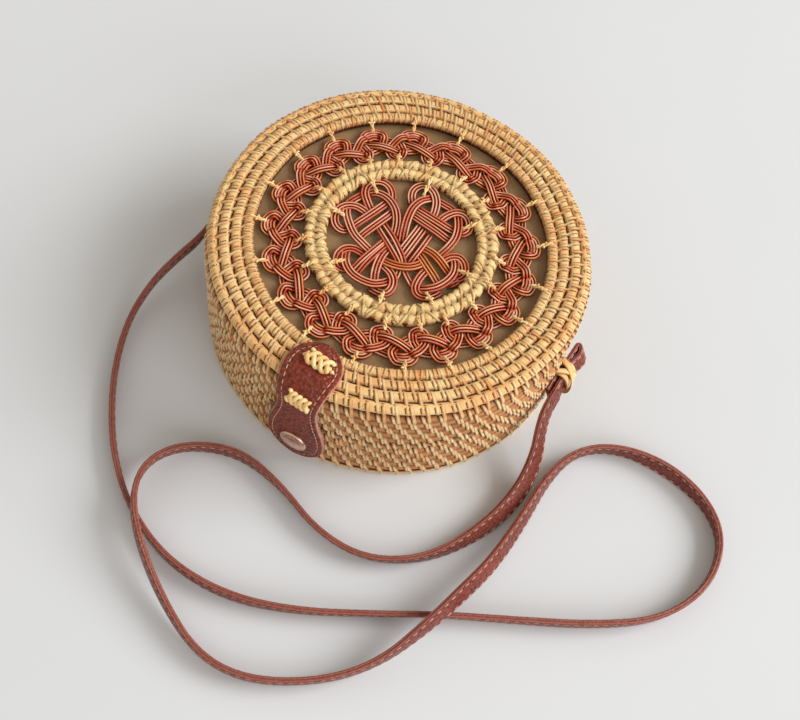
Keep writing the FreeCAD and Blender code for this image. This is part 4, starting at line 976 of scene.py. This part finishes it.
# %% The bands of the four-leaf knot: finish, number of strands, points in mm that pass over and under
LEAF_BANDS = [
    (red_rattan, 3, [(-21.8, 7.8, 71.5), (-27, 11.8, 72.9), (-30.5, 15.7, 73), (-31.7, 20.5, 73.1),
      (-29.8, 25, 73.1), (-25.6, 27, 73.1), (-21.6, 26.2, 72.9), (-18.4, 23.7, 71.9), (-16.9, 20.5, 71.5)]),
    (red_rattan, 3, [(-29.7, 14.6, 71.5), (-27.8, 17.7, 73), (-23.2, 19.1, 73.9), (-17.9, 18.3, 74.2),
      (-12.6, 15.2, 74.2), (-8.9, 10.7, 73.7), (-6.6, 5.6, 72.9), (-5.3, 0.7, 71.6)]),
    (red_rattan, 3, [(-26.5, -6.6, 71.5), (-24.9, -2.9, 72.6), (-21.4, 5.4, 73.5), (-19, 12.4, 73.5),
      (-17.7, 17.9, 72.3), (-16.5, 22.1, 71.5)]),
    (red_rattan, 3, [(-19.8, -10, 71.5), (-18.7, -6.3, 72.6), (-16, 1.1, 73.5), (-13.7, 8.2, 73.5),
      (-12.5, 13.7, 72.3), (-11.4, 17.3, 71.5)]),
    (red_rattan, 3, [(-34.8, 4.5, 71.8), (-32.1, -1.1, 73.7), (-27.1, -6.6, 74.2), (-22, -10.5, 74.2),
      (-16.1, -12.8, 74.2), (-11.4, -13.8, 73.1), (-7, -14.7, 71.8)]),
    (red_rattan, 3, [(-22.4, 5.4, 71.5), (-25.8, 6, 72.6), (-30.7, 5.8, 73.1), (-35, 3.3, 73.1), (-37, -1.1, 73.1),
      (-36.2, -6.1, 73.1), (-33.1, -9.8, 73.1), (-29.3, -10.6, 72.9), (-26.3, -7.6, 71.6)]),
    (red_rattan, 3, [(-35.5, 4.8, 71.5), (-33.7, 9.7, 72), (-31.3, 14.4, 72), (-29.3, 18.3, 71.5)]),
    (red_rattan, 2, [(-17.3, 2.9, 71.5), (-12.4, -0.9, 73.1), (-5.9, -5.3, 73.7), (-0, -9.2, 73.7),
      (3.7, -11.5, 72.6), (6.7, -14.2, 71.5)]),
    (red_rattan, 2, [(-15.4, 6.2, 71.5), (-10.4, 3, 73.1), (-3.9, -1.3, 73.7), (1.8, -5.8, 73.7), (5.3, -8.5, 72.6),
      (8.5, -12.1, 71.5)]),
    (red_rattan, 3, [(-6.2, 23.7, 71.5), (-9, 27.4, 73.1), (-9.8, 31.9, 73.1), (-7.8, 36, 73.1), (-4.3, 37.2, 73.1),
      (0, 35.4, 73.5), (3.7, 31.3, 73.5), (5.7, 26.3, 73.1), (6.4, 21.4, 71.9), (6.5, 18.2, 71.5)]),
    (red_rattan, 3, [(2.3, 34, 71.5), (-0.9, 30.1, 73.3), (-3.4, 25.9, 74.2), (-4.6, 20.3, 74.2), (-3.8, 13.5, 74.2),
      (-2.3, 7.7, 73.7), (-0.9, 3.5, 72.3), (0.6, -0, 71.5)]),
    (red_rattan, 3, [(-7.9, 23.1, 71.5), (-2.7, 22.1, 72.6), (3.5, 21.1, 73.3), (10.5, 20.4, 73.3), (16.6, 20, 72.9),
      (22.3, 20.5, 71.6)]),
    (red_rattan, 3, [(-6.8, 18.2, 71.5), (-1.8, 17, 72.6), (5.6, 15.6, 73.3), (12.7, 14.6, 73.3), (18.1, 13.9, 72.6),
      (22.4, 13.9, 71.5)]),
    (red_rattan, 3, [(10.1, 18.4, 71.5), (11.2, 22.7, 72.9), (13.1, 27.4, 73.1), (16.2, 31.1, 73.1),
      (20.5, 31.9, 73.1), (24.3, 29.4, 73.1), (26.3, 24.9, 73.1), (25, 21.2, 72.9), (21.3, 20.1, 71.6)]),
    (red_rattan, 3, [(16.7, 31, 71.6), (20, 25.1, 73.7), (22.2, 19.9, 74.2), (23.1, 14.3, 74.2), (22.5, 8.3, 74.2),
      (21, 3.6, 73.1), (19.5, -0, 71.6)]),
    (red_rattan, 3, [(2.8, 33.2, 71.5), (7.6, 32.6, 72), (12, 32.3, 72), (17.2, 31.3, 71.5)]),
    (red_rattan, 2, [(2.9, 14.8, 71.5), (3, 9.4, 72.9), (2.6, 2, 73.1), (2.2, -3.4, 72.6), (1.9, -7.8, 71.5)]),
    (red_rattan, 2, [(6.5, 14, 71.5), (6.6, 8.2, 73.1), (6.3, 0.6, 73.4), (5.9, -5.3, 72.9), (5.5, -9, 71.5)]),
    (red_rattan, 2, [(10.8, 12.1, 71.5), (10.9, 6.3, 73.1), (10.6, -0.5, 73.3), (10.1, -5.7, 72.6),
      (9.7, -9.3, 71.5)]),
    (amber_rattan, 3, [(-10.1, -13.5, 71.6), (-4.9, -15, 72.7), (0.4, -15.9, 73.9), (5.6, -15.1, 74.2),
      (10.2, -13, 74.2), (13.4, -9.8, 73.7), (15.3, -5.8, 72.6), (16.5, -2, 71.5)]),
    (amber_rattan, 3, [(8.3, 2.4, 71.5), (12.8, 2.2, 72.9), (17.9, 1.4, 73.5), (23, -0.6, 73.5), (27.5, -2.7, 72.7),
      (31.4, -4, 71.5)]),
    (amber_rattan, 3, [(9.6, -0.8, 71.5), (14, -3.8, 72.9), (18.8, -7, 73.4), (23.6, -9.8, 73.1), (27.3, -12, 72.2),
      (30, -14.3, 71.5)]),
    (red_rattan, 3, [(22.6, -2.1, 71.5), (24, 1.4, 72.9), (26.4, 5.1, 73.1), (30, 6.8, 73.1), (33.7, 5.1, 73.1),
      (36.3, 1.2, 73.1), (36.3, -2.9, 72.9), (33.4, -5.6, 71.6)]),
    (red_rattan, 3, [(26.9, 6.5, 71.6), (30.3, 1.6, 73.7), (32, -3.7, 74.2), (31.3, -9.5, 74.2), (28.7, -15.1, 74.2),
      (25.3, -18.5, 73.8), (21.9, -20.2, 72.7), (18.1, -20.3, 71.5)]),
    (red_rattan, 3, [(20.1, -5.8, 71.5), (18.8, -11, 73.1), (18.4, -16.6, 73.4), (19.3, -21.4, 73.4),
      (22, -23.9, 73.1), (25.7, -23.2, 72.6), (28.7, -19.9, 72), (30.8, -15.2, 71.5)]),
    (red_rattan, 2, [(6.9, -11.6, 71.5), (10.5, -15.6, 72.3), (14.8, -18.9, 72.4), (19.1, -21.5, 71.9),
      (22.4, -23, 71.5)]),
    (red_rattan, 2, [(34.2, 2.2, 71.5), (36.5, -2.6, 71.9), (35.5, -6.7, 71.9), (33.1, -10.4, 71.5)]),
    (red_rattan, 2, [(-7, -0.3, 71.5), (-8.5, -8, 73.7), (-10.3, -15.1, 73.9), (-12, -21.5, 73.4),
      (-13.1, -25.9, 72.3), (-13.8, -28.7, 71.5)]),
    (red_rattan, 2, [(-4.4, -2.2, 71.5), (-5.9, -8.6, 73.5), (-7.4, -15.2, 73.9), (-8.8, -21.7, 73.4),
      (-9.5, -25.9, 72.3), (-10.1, -28.8, 71.5)]),
    (red_rattan, 3, [(-3.2, -4.5, 71.5), (-4.2, -11.8, 73.4), (-3.7, -18.5, 73.7), (-2.5, -23.5, 73.4),
      (-1.2, -26.7, 72.3), (0.7, -29.9, 71.5)]),
    (red_rattan, 3, [(-10.2, -17, 71.5), (-14.9, -17, 72.6), (-18.8, -17.5, 73.1), (-22.3, -19.9, 73.1),
      (-23.5, -23.9, 73.1), (-22.3, -28.1, 73.1), (-19.7, -30.7, 72.9), (-15.9, -29.4, 71.6)]),
    (red_rattan, 3, [(-21.9, -18, 71.6), (-19.4, -24.5, 73.7), (-16.6, -28.5, 74.2), (-11.7, -31.4, 74.2),
      (-6, -32.1, 74.2), (-0.5, -31.2, 74.2), (3.2, -28.3, 73.5), (5.2, -25, 72.2), (7, -21.5, 71.5)]),
    (red_rattan, 3, [(-5.4, -15.4, 71.5), (-0.3, -18.2, 72.9), (4.4, -20.2, 73.4), (7.8, -23.3, 73.4),
      (9.3, -27.7, 73.4), (8.3, -31.6, 73.1), (4.7, -33, 72.4), (-0.8, -32.3, 71.5)]),
    (red_rattan, 2, [(5.5, -12, 71.5), (7.4, -16.8, 72.2), (7.9, -20.7, 71.9), (8.1, -24.2, 71.5)]),
]
LEAF_STRAND, LEAF_SPREAD = 1.45, 1.72
leaf_pieces = []
for finish, count, points in LEAF_BANDS:
    lines = side_by_side(through(points, 6), [LEAF_SPREAD * (j - (count - 1) / 2) for j in range(count)])
    leaf_pieces.append(draw_strands("leaf_band", lines, LEAF_STRAND, finish, sides=2, shade_and_stain=KNOT_SHADE_AND_STAIN))
gather("leaf_knot_strands", leaf_pieces, "lid", "stained_rattan", "centre_knot")

# %% [markdown]
# ## Ties
# Short pale ties of two twisted strands hang the ring of knots between the two coils, and the four-leaf knot in
# the inner ring. Each is a pair of helices between two places, with two short frayed ends, drawn as thin strands.

# %% Twist a tie between two places
def twisted_tie(first, second, turns, spread):
    """Two strands that wind round each other between two points in mm, and their frayed ends."""
    first, second = np.array(first, float), np.array(second, float)
    ahead = unit(second - first)
    side = unit(np.cross(ahead, [0, 0, 1.0]))
    rise = np.cross(side, ahead)
    along = np.linspace(0, 1, 15)
    phase = along * turns * 2 * math.pi + chance.uniform(0, 6)
    swell = spread * (0.75 + 0.5 * np.sin(along * math.pi))
    lines = []
    for sign in (1, -1):
        reach = side * sign * chance.uniform(1.2, 2.4) + ahead * chance.uniform(-1.2, 1.2) + [0, 0, 0.35]
        knot = first + (second - first) * chance.uniform(0.35, 0.6) + [0, 0, 0.3]
        lines.append(knot + reach * np.linspace(0, 1, 5)[:, None])
    winding = side * (np.cos(phase) * swell)[:, None] + rise * (np.sin(phase) * swell)[:, None]
    return lines + [first + (second - first) * along[:, None] + sign * winding for sign in (1, -1)]


def polar(angle, radius, height):
    """A point in mm at an azimuth in degrees."""
    return (radius * math.cos(math.radians(angle)), radius * math.sin(math.radians(angle)), height)


# %% Tie the knots to the coils
TIE = 1.1
ON_EYE, ON_RING, IN_RING = (78.6, 77.0), (47.6, 77.2), (42.2, 77.0)
ON_OUTER_LOOP, ON_INNER_LOOP, ON_LEAF = (69.4, 74.7), (54.6, 74.6), 74.4
LEAF_TIES = [(96.8, 33), (44.4, 35.2), (-1.8, 35.4), (-40.1, 35.6), (-77.8, 35.6), (-125.6, 35), (-174.6, 35),
             (143.5, 33.5)]
ties = dict(outer=[], inner=[], leaf=[])
for k, angle in enumerate(KNOT_ANGLES):
    angle += chance.uniform(-0.8, 0.8)
    far = polar(angle + chance.uniform(-1.2, 1.2), *ON_OUTER_LOOP)
    ties["outer"] += twisted_tie(polar(angle, *ON_EYE), far, 1.3, 0.45)
    angle = math.degrees(knot_angle(k + 0.45)) + chance.uniform(-0.8, 0.8)
    far = polar(angle + chance.uniform(-2, 2), *ON_INNER_LOOP)
    ties["inner"] += twisted_tie(polar(angle, *ON_RING), far, 1.2, 0.45)
for angle, radius in LEAF_TIES:
    ties["leaf"] += twisted_tie(polar(angle, *IN_RING), polar(angle, radius - 3.0, ON_LEAF), 1.3, 0.48)
for part, node in (("outer", "outer_ties"), ("inner", "inner_ties"), ("leaf", "centre_ties")):
    strands = draw_strands("tie", ties[part], TIE, tie_rattan)
    gather(f"{part}_tie_strands", [strands], "lid", "rattan_ties", node)

# %% [markdown]
# ## Leather tab
# The tab is lashed to the lid's face, folds over the rim and hangs down the front to a snap. It is cut with two
# round lobes and a waist. A flat outline bent by hand would crease, so each ring of points is set by its distance
# along the tab: on the face, round the bend or down the wall.

# %% Where a place on the tab is
LEATHER = 2.6
BEND, FACE_END, FACE_TOP = 9.2, 93.0, 76.7
ARC, CUP = BEND * math.pi / 2, 260


def tab_spot(along, side, lift):
    """A point in mm: along the tab from the eye, to its side, and off its inner surface."""
    if along < FACE_END:
        return np.array([side, -along, FACE_TOP + lift])
    if along < FACE_END + ARC:
        turn = (along - FACE_END) / BEND
        settle = side ** 2 / CUP * math.sin(turn)
        return np.array([side, -FACE_END - (BEND + lift) * math.sin(turn) + settle,
                         FACE_TOP - BEND + (BEND + lift) * math.cos(turn)])
    return np.array([side, -FACE_END - BEND - lift + side ** 2 / CUP, FACE_TOP - BEND - (along - FACE_END - ARC)])


# %% Cut leather: inset from the edge in mm and share of the thickness, on the upper and the under side
UPPER_EDGE = [(0.25, 0.8), (0.8, 0.97), (2.3, 1.0), (3.1, 0.9), (3.9, 1.02)]
UNDER_EDGE = [(0.25, 0.2), (0.8, 0.02)]


def leather_rings(outline, spot, thick):
    """Rings across a leather piece whose outline is (along, half width), with round edges and a sunk seam."""
    rings, edge_wear_and_highlights = [], []
    for along, half in outline:
        shrink = min(1.0, half / 6)
        row = [(half, 0.5)] + [(half - inset * shrink, lift) for inset, lift in UPPER_EDGE]
        row += [(row[-1][0] * 0.5, 1.05), (0, 1.06)]
        row += [(-side, lift) for side, lift in row[-2::-1]]
        under = [(-(half - inset * shrink), lift) for inset, lift in UNDER_EDGE] + [(0, 0.0)]
        row += under + [(-side, lift) for side, lift in under[-2::-1]]
        rings.append([spot(along, side, lift * thick) for side, lift in row])
        # The outermost edge is marked to be paler: wear, and a painted highlight on the cut edge.
        edge_wear_and_highlights.append([1.0 if abs(side) > half - 0.5 * shrink else 0.08 for side, lift in row])
    return np.array(rings) * MM, np.array(edge_wear_and_highlights).ravel()


def outline_stitches(name, outline, spot, thick, inset=3.1, pitch=3.1, length=2.6, thread=0.6):
    """Stitches that follow the outline of a leather piece, a distance inside it, in mm."""
    flat = np.concatenate([outline, (outline * [1, -1])[::-1]])
    ahead = unit(np.roll(flat, -2, 0) - np.roll(flat, 2, 0) + 1e-9)
    seam = flat + inset * np.column_stack([ahead[:, 1], -ahead[:, 0]])
    seam = np.concatenate([seam, seam[:1]])
    run, lift = run_along(seam), thick * 0.95
    at = lambda d: np.array([np.interp(d % run[-1], run, seam[:, k]) for k in (0, 1)])
    spots = []
    for d in np.arange(0, run[-1] - pitch / 2, pitch):
        here, nose, tail = (spot(*at(d + e), lift) for e in (0, length / 2, -length / 2))
        out = unit(spot(*at(d), lift + 1) - here)
        ahead = unit(nose - tail)
        spots.append(np.array([here, ahead * length, np.cross(out, ahead) * thread, out * thread]) * MM)
    return copy_stitches(name, spots)


def cut_leather(name, points, spot, thick):
    """A leather piece and its thread from the points of its outline."""
    outline = through(points, 5)
    rings, edge_wear_and_highlights = leather_rings(outline, spot, thick)
    piece = loft(f"{name}_leather_piece", rings, tab_leather, outline[:, 0] * MM)
    set_spread(piece, "edge_wear_and_highlight", edge_wear_and_highlights)
    thread = outline_stitches(f"{name}_thread", outline, spot, thick)
    return piece, thread


# %% Cut and sew the tab
TAB_OUTLINE = [(75.3, 0.4), (75.9, 4.2), (77.8, 8.0), (81, 11.4), (85.5, 13.8), (90.5, 14.6), (96, 13.9), (103, 12.3),
               (110, 11.2), (116, 11.0), (122, 11.6), (129, 13.0), (136, 14.8), (143, 16.0), (150, 16.3), (156, 15.2),
               (160.5, 12.8), (164, 9.2), (166.1, 4.8), (166.8, 0.4)]
tab, tab_thread = cut_leather("tab", TAB_OUTLINE, tab_spot, LEATHER)
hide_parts("flap_root", "flap_tongue")
for piece in (tab, tab_thread):
    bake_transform(piece)

# %% [markdown]
# ## Rattan lashings
# The tab is tied on by two knots of split rattan: a loose plait of three strands on the face and a tighter one at
# the rim. Both are drawn as bevelled strands that weave over each other in a wave, with some ends left standing.

# %% Two plaits
def plait(length, swing, lift, waves, count=3, steps=40):
    """Strands of a plait along x, as (x, y, lift) in mm."""
    t = np.linspace(0, 1, steps)
    phases = [2 * math.pi * (waves * t + k / count) for k in range(count)]
    return [np.column_stack([(t - 0.5) * length, swing * np.sin(phase), lift * (1 + np.sin(2 * phase + 0.8)) / 2])
            for phase in phases]


def on_tab(line, along, turn, side=1.2):
    """Lay a flat line of (x, y, lift) on the tab's outer side, turned by an angle."""
    c, s = math.cos(turn), math.sin(turn)
    return np.array([tab_spot(along + x * s + y * c, side + x * c - y * s, LEATHER * 1.05 + z) for x, y, z in line])


UPPER_PLACE, LOWER_PLACE = 86.2, FACE_END + ARC - 2.6
STUB = np.array([(0, 0, 1.3), (1.5, 0.3, 1.5), (3.2, 0.5, 1.0)])
STUBS = (-6.0, 1.4, 0.2), (-5.0, -2.6, -0.12), (6.6, 1.2, 0.04)
upper_lines = [on_tab(line + [0, 0, 0.9], UPPER_PLACE, 0.12) for line in plait(14.0, 3.3, 1.6, 1.2)]
upper_lines += [on_tab(STUB * [math.copysign(1, x), 1, 1] + [x, y, 0], UPPER_PLACE, turn) for x, y, turn in STUBS]
lower_lines = [on_tab(line + [0, 0, 0.7], LOWER_PLACE, 0.1) for line in plait(12.4, 2.3, 1.3, 1.5)]
for part, lines, thick in (("upper", upper_lines, 2.4), ("lower", lower_lines, 2.2)):
    strands = draw_strands("plait", lines, thick, tie_rattan, sides=2)
    gather(f"tab_{part}_plait", [strands], "lid", "rattan_ties", f"flap_lashing_{part}")

# %% [markdown]
# ## Snap
# The cap is a pressed copper-coloured dome with a rolled rim. A profile of points and edges is spun round the snap's
# axis, which leaves it round, and its open back is filled. The stud, the post and the socket behind the tab keep
# their solids and get the same metal.

# %% Copper-coloured metal
snap_metal, tree, shader = new_finish("snap_copper")
scuffs = add_noise(tree, add_node(tree, "TexCoord").outputs["Object"], 420.0, 6.0)
copper = add_mix(tree, scuffs, tint(255, 228, 206), tint(238, 194, 164))
rough = add_math(tree, "ADD", 0.16, add_math(tree, "MULTIPLY", scuffs, 0.25))
wire(tree, shader, Base_Color=copper, Metallic=1.0, Roughness=rough)
add_relief(tree, shader, scuffs, 0.12, 0.0002)
for node in ("snap_stud", "snap_post", "snap_socket"):
    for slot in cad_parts[node].material_slots:
        slot.material = snap_metal
print("metal ready")

# %% Press the cap
CAP_PROFILE = [(0.02, 2.1), (2.6, 2.02), (4.8, 1.7), (6.2, 1.42), (6.6, 1.5), (7.0, 1.58), (7.35, 1.4), (7.55, 0.9),
               (7.5, 0.2), (7.3, -0.5)]
CAP_DEPTH = 0.0023
cap_low, cap_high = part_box("snap_cap")
cap_back, cap_z = cap_low.y + CAP_DEPTH, (cap_low.z + cap_high.z) / 2
mesh = bpy.data.meshes.new("snap_cap_dome")
mesh.from_pydata([(r * MM, cap_back - h * MM, cap_z) for r, h in CAP_PROFILE],
                 [(k, k + 1) for k in range(len(CAP_PROFILE) - 1)], [])
snap_cap = new_piece("snap_cap_dome", mesh)
with editing(snap_cap):
    bpy.ops.mesh.spin(steps=56, angle=2 * math.pi, center=(0, cap_back, cap_z), axis=(0, 1, 0))
    bpy.ops.mesh.select_all(action="SELECT")
    bpy.ops.mesh.remove_doubles(threshold=0.00005)
    bpy.ops.mesh.select_all(action="DESELECT")
    bpy.ops.mesh.select_non_manifold()
    bpy.ops.mesh.edge_face_add()
    bpy.ops.mesh.select_all(action="SELECT")
    bpy.ops.mesh.normals_make_consistent(inside=False)
mesh.materials.append(snap_metal)
bpy.ops.object.shade_smooth_by_angle(angle=math.radians(50))
dress(snap_cap, "flap", "snap_metal", "snap_cap")
print("cap", len(mesh.polygons), "faces, box", [round(c, 4) for c in cap_low], [round(c, 4) for c in cap_high])

# %% [markdown]
# ## Strap ends
# Each end of the strap is folded back on itself: a loop stands out past the lashing and the cut end lies along the
# wall. The fold is lofted along a flat line seen from above, on edge and leaned against the wall. Four broad turns
# of split rattan cross over it and go into the wall.

# %% Fold both ends: out from the axis, along the strap, and the lean against the wall in degrees
END_LINE = [(105.5, -14, 23), (105.5, -9, 23), (105.3, -3, 20), (105.3, 2.5, 19), (106.2, 7, 24), (107.6, 11, 27),
            (108.2, 14.5, 27), (107.4, 17.6, 26), (105.6, 19.2, 22), (104.2, 18.2, 17), (103.7, 14.5, 15),
            (103.3, 9, 15), (102.6, 3, 17), (102.0, -3, 20), (101.8, -9, 22), (101.9, -14.5, 22)]
END_SECTION, END_HEIGHT = BAND_SECTION * [0.98, 0.78], 28.7
END_CORNER, END_SEAM = (0.0045, 0.0003), (3.7, 1.05, 4.4, 3.4, 0.6)
SIDES = ("right", 1), ("left", -1)
for name, sign in SIDES:
    spots = through([(x * sign, y, lean * sign) for x, y, lean in END_LINE], 6)[::sign]
    tilt = np.radians(spots[:, 2])
    line = np.column_stack([spots[:, :2], np.full(len(spots), END_HEIGHT)]) * MM
    wide = np.column_stack([-np.sin(tilt), np.zeros(len(spots)), np.cos(tilt)])
    face = unit(np.cross(unit(np.gradient(line, axis=0)), wide))
    fold = sweep_band(f"strap_fold_{name}", line, wide, face, END_SECTION, END_CORNER)
    fold_thread = sew_band(f"strap_fold_thread_{name}", line, wide, face, END_SEAM)
    dress(fold, "base", "strap_leather", f"strap_end_{name}")
    dress(fold_thread, "base", "strap_leather")

# %% Lash them: each turn starts above, goes round the strap and ends below
ARCH = [(98, 33.8), (101.8, 35.0), (105.0, 34.4), (107.4, 31.6), (108.6, 27.8), (108.4, 24.4), (106.2, 22.6),
        (102.4, 22.2), (98.6, 23.0)]
ARCH_MIDDLE, CROSSING = (104.4, 28.4), 1.7
TURN_SIZE, SHADE_START, SHADE_GAIN, SHADE_MOST = (1.85, 0.6), 0.7, 3.5, 0.85
TURNS = [(3.4, 4.4, 0.0, 0.3), (-3.4, -3.8, 0.0, 0.7), (-5.0, 4.8, 0.9, 0.0), (5.4, -4.2, 1.7, 0.35)]
round_about = np.linspace(0, 2 * math.pi, 12, endpoint=False)
TURN_SECTION = np.column_stack([np.cos(round_about), np.sin(round_about)]) * TURN_SIZE * MM
# The edges of each turn are darker: painted shade.
edge_shade = np.clip((np.abs(np.cos(round_about)) - SHADE_START) * SHADE_GAIN, 0, SHADE_MOST)
for name, sign in SIDES:
    turns = []
    for above, below, lift, tone in TURNS:
        arch = through(ARCH, 5)
        out = unit(arch - ARCH_MIDDLE)
        arch = arch + out * lift
        share = np.clip(np.linspace(0, CROSSING, len(arch)), 0, 1)
        line = np.column_stack([arch[:, 0] * sign, above + (below - above) * share, arch[:, 1]]) * MM
        ahead = unit(np.gradient(line, axis=0))
        wide = unit(np.cross(np.column_stack([out[:, 0] * sign, np.zeros(len(out)), out[:, 1]]), ahead))
        rings = band_rings(line, wide, np.cross(ahead, wide), TURN_SECTION)
        turn = loft("turn", rings, tie_rattan, run_along(line))
        set_spread(turn, "tone", np.full(rings.shape[0] * rings.shape[1], tone))
        set_spread(turn, "gap", np.tile(edge_shade, len(line)))
        turns.append(turn)
    gather(f"strap_lashing_turns_{name}", turns, "base", "rattan_ties", f"strap_lashing_{name}")

# %% [markdown]
# ## Leather hinge
# At the back, opposite the tab, a leather piece joins the halves. It is cut and sewn like the tab, and lashed
# above and below the seam.

# %% Cut and sew the hinge
HINGE_LOW, HINGE_OUT, HINGE_LEATHER = 8.2, 100.5, 2.2
BULGE, BULGE_REACH, HINGE_CUP = 0.5, 5, 420


def hinge_spot(along, side, lift):
    """A point in mm: up the hinge from its low end, to its side and off its inner surface."""
    bulge = BULGE * math.exp(-((along + HINGE_LOW - SEAM_HEIGHT) / BULGE_REACH) ** 2)
    return np.array([side, HINGE_OUT + lift + bulge - side ** 2 / HINGE_CUP, along + HINGE_LOW])


HINGE_OUTLINE = [(0, 0.4), (0.5, 3.6), (2, 7), (4.6, 10.4), (8.5, 13.4), (13, 14.6), (19, 14.6), (26.25, 14.0),
                 (33.5, 14.6), (39.5, 14.6), (44, 13.4), (47.9, 10.4), (50.5, 7), (52, 3.6), (52.5, 0.4)]
hinge, hinge_thread = cut_leather("hinge", HINGE_OUTLINE, hinge_spot, HINGE_LEATHER)
with editing(hinge):
    bpy.ops.mesh.normals_make_consistent(inside=False)
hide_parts("hinge_tab_base", "hinge_tab_lid")
for piece in (hinge, hinge_thread):
    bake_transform(piece)

# %% Lash it above and below the seam
ROPE, ROPE_LENGTH, ROPE_TURNS, ROPE_SWING, ROPE_LIFT = 2.1, 12.6, 1.75, 1.25, 2.3
for half, height in (("base", 18.2), ("lid", 50.7)):
    rope = []
    for sign in (1, -1):
        t = np.linspace(0, 1, 34)
        phase = 2 * math.pi * ROPE_TURNS * t
        rise = 0.9 + 0.9 * (1 + sign * np.sin(phase)) / 2 - 1.6 * np.abs(2 * t - 1) ** 6
        flat = np.column_stack([(t - 0.5) * ROPE_LENGTH, sign * ROPE_SWING * np.cos(phase), rise])
        rope.append(np.array([hinge_spot(height - HINGE_LOW + y, x, ROPE_LIFT + z) for x, y, z in flat]))
    strands = draw_strands("rope", rope, ROPE, tie_rattan, sides=2)
    gather(f"hinge_rope_{half}", [strands], half, "rattan_ties", f"hinge_lashing_{half}")

# %% [markdown]
# ## Clear the bench
# The single stitch that was copied has done its work, so it is taken out of the scene.

# %% Take the model of the stitch away
bpy.data.objects.remove(thread_stitch)
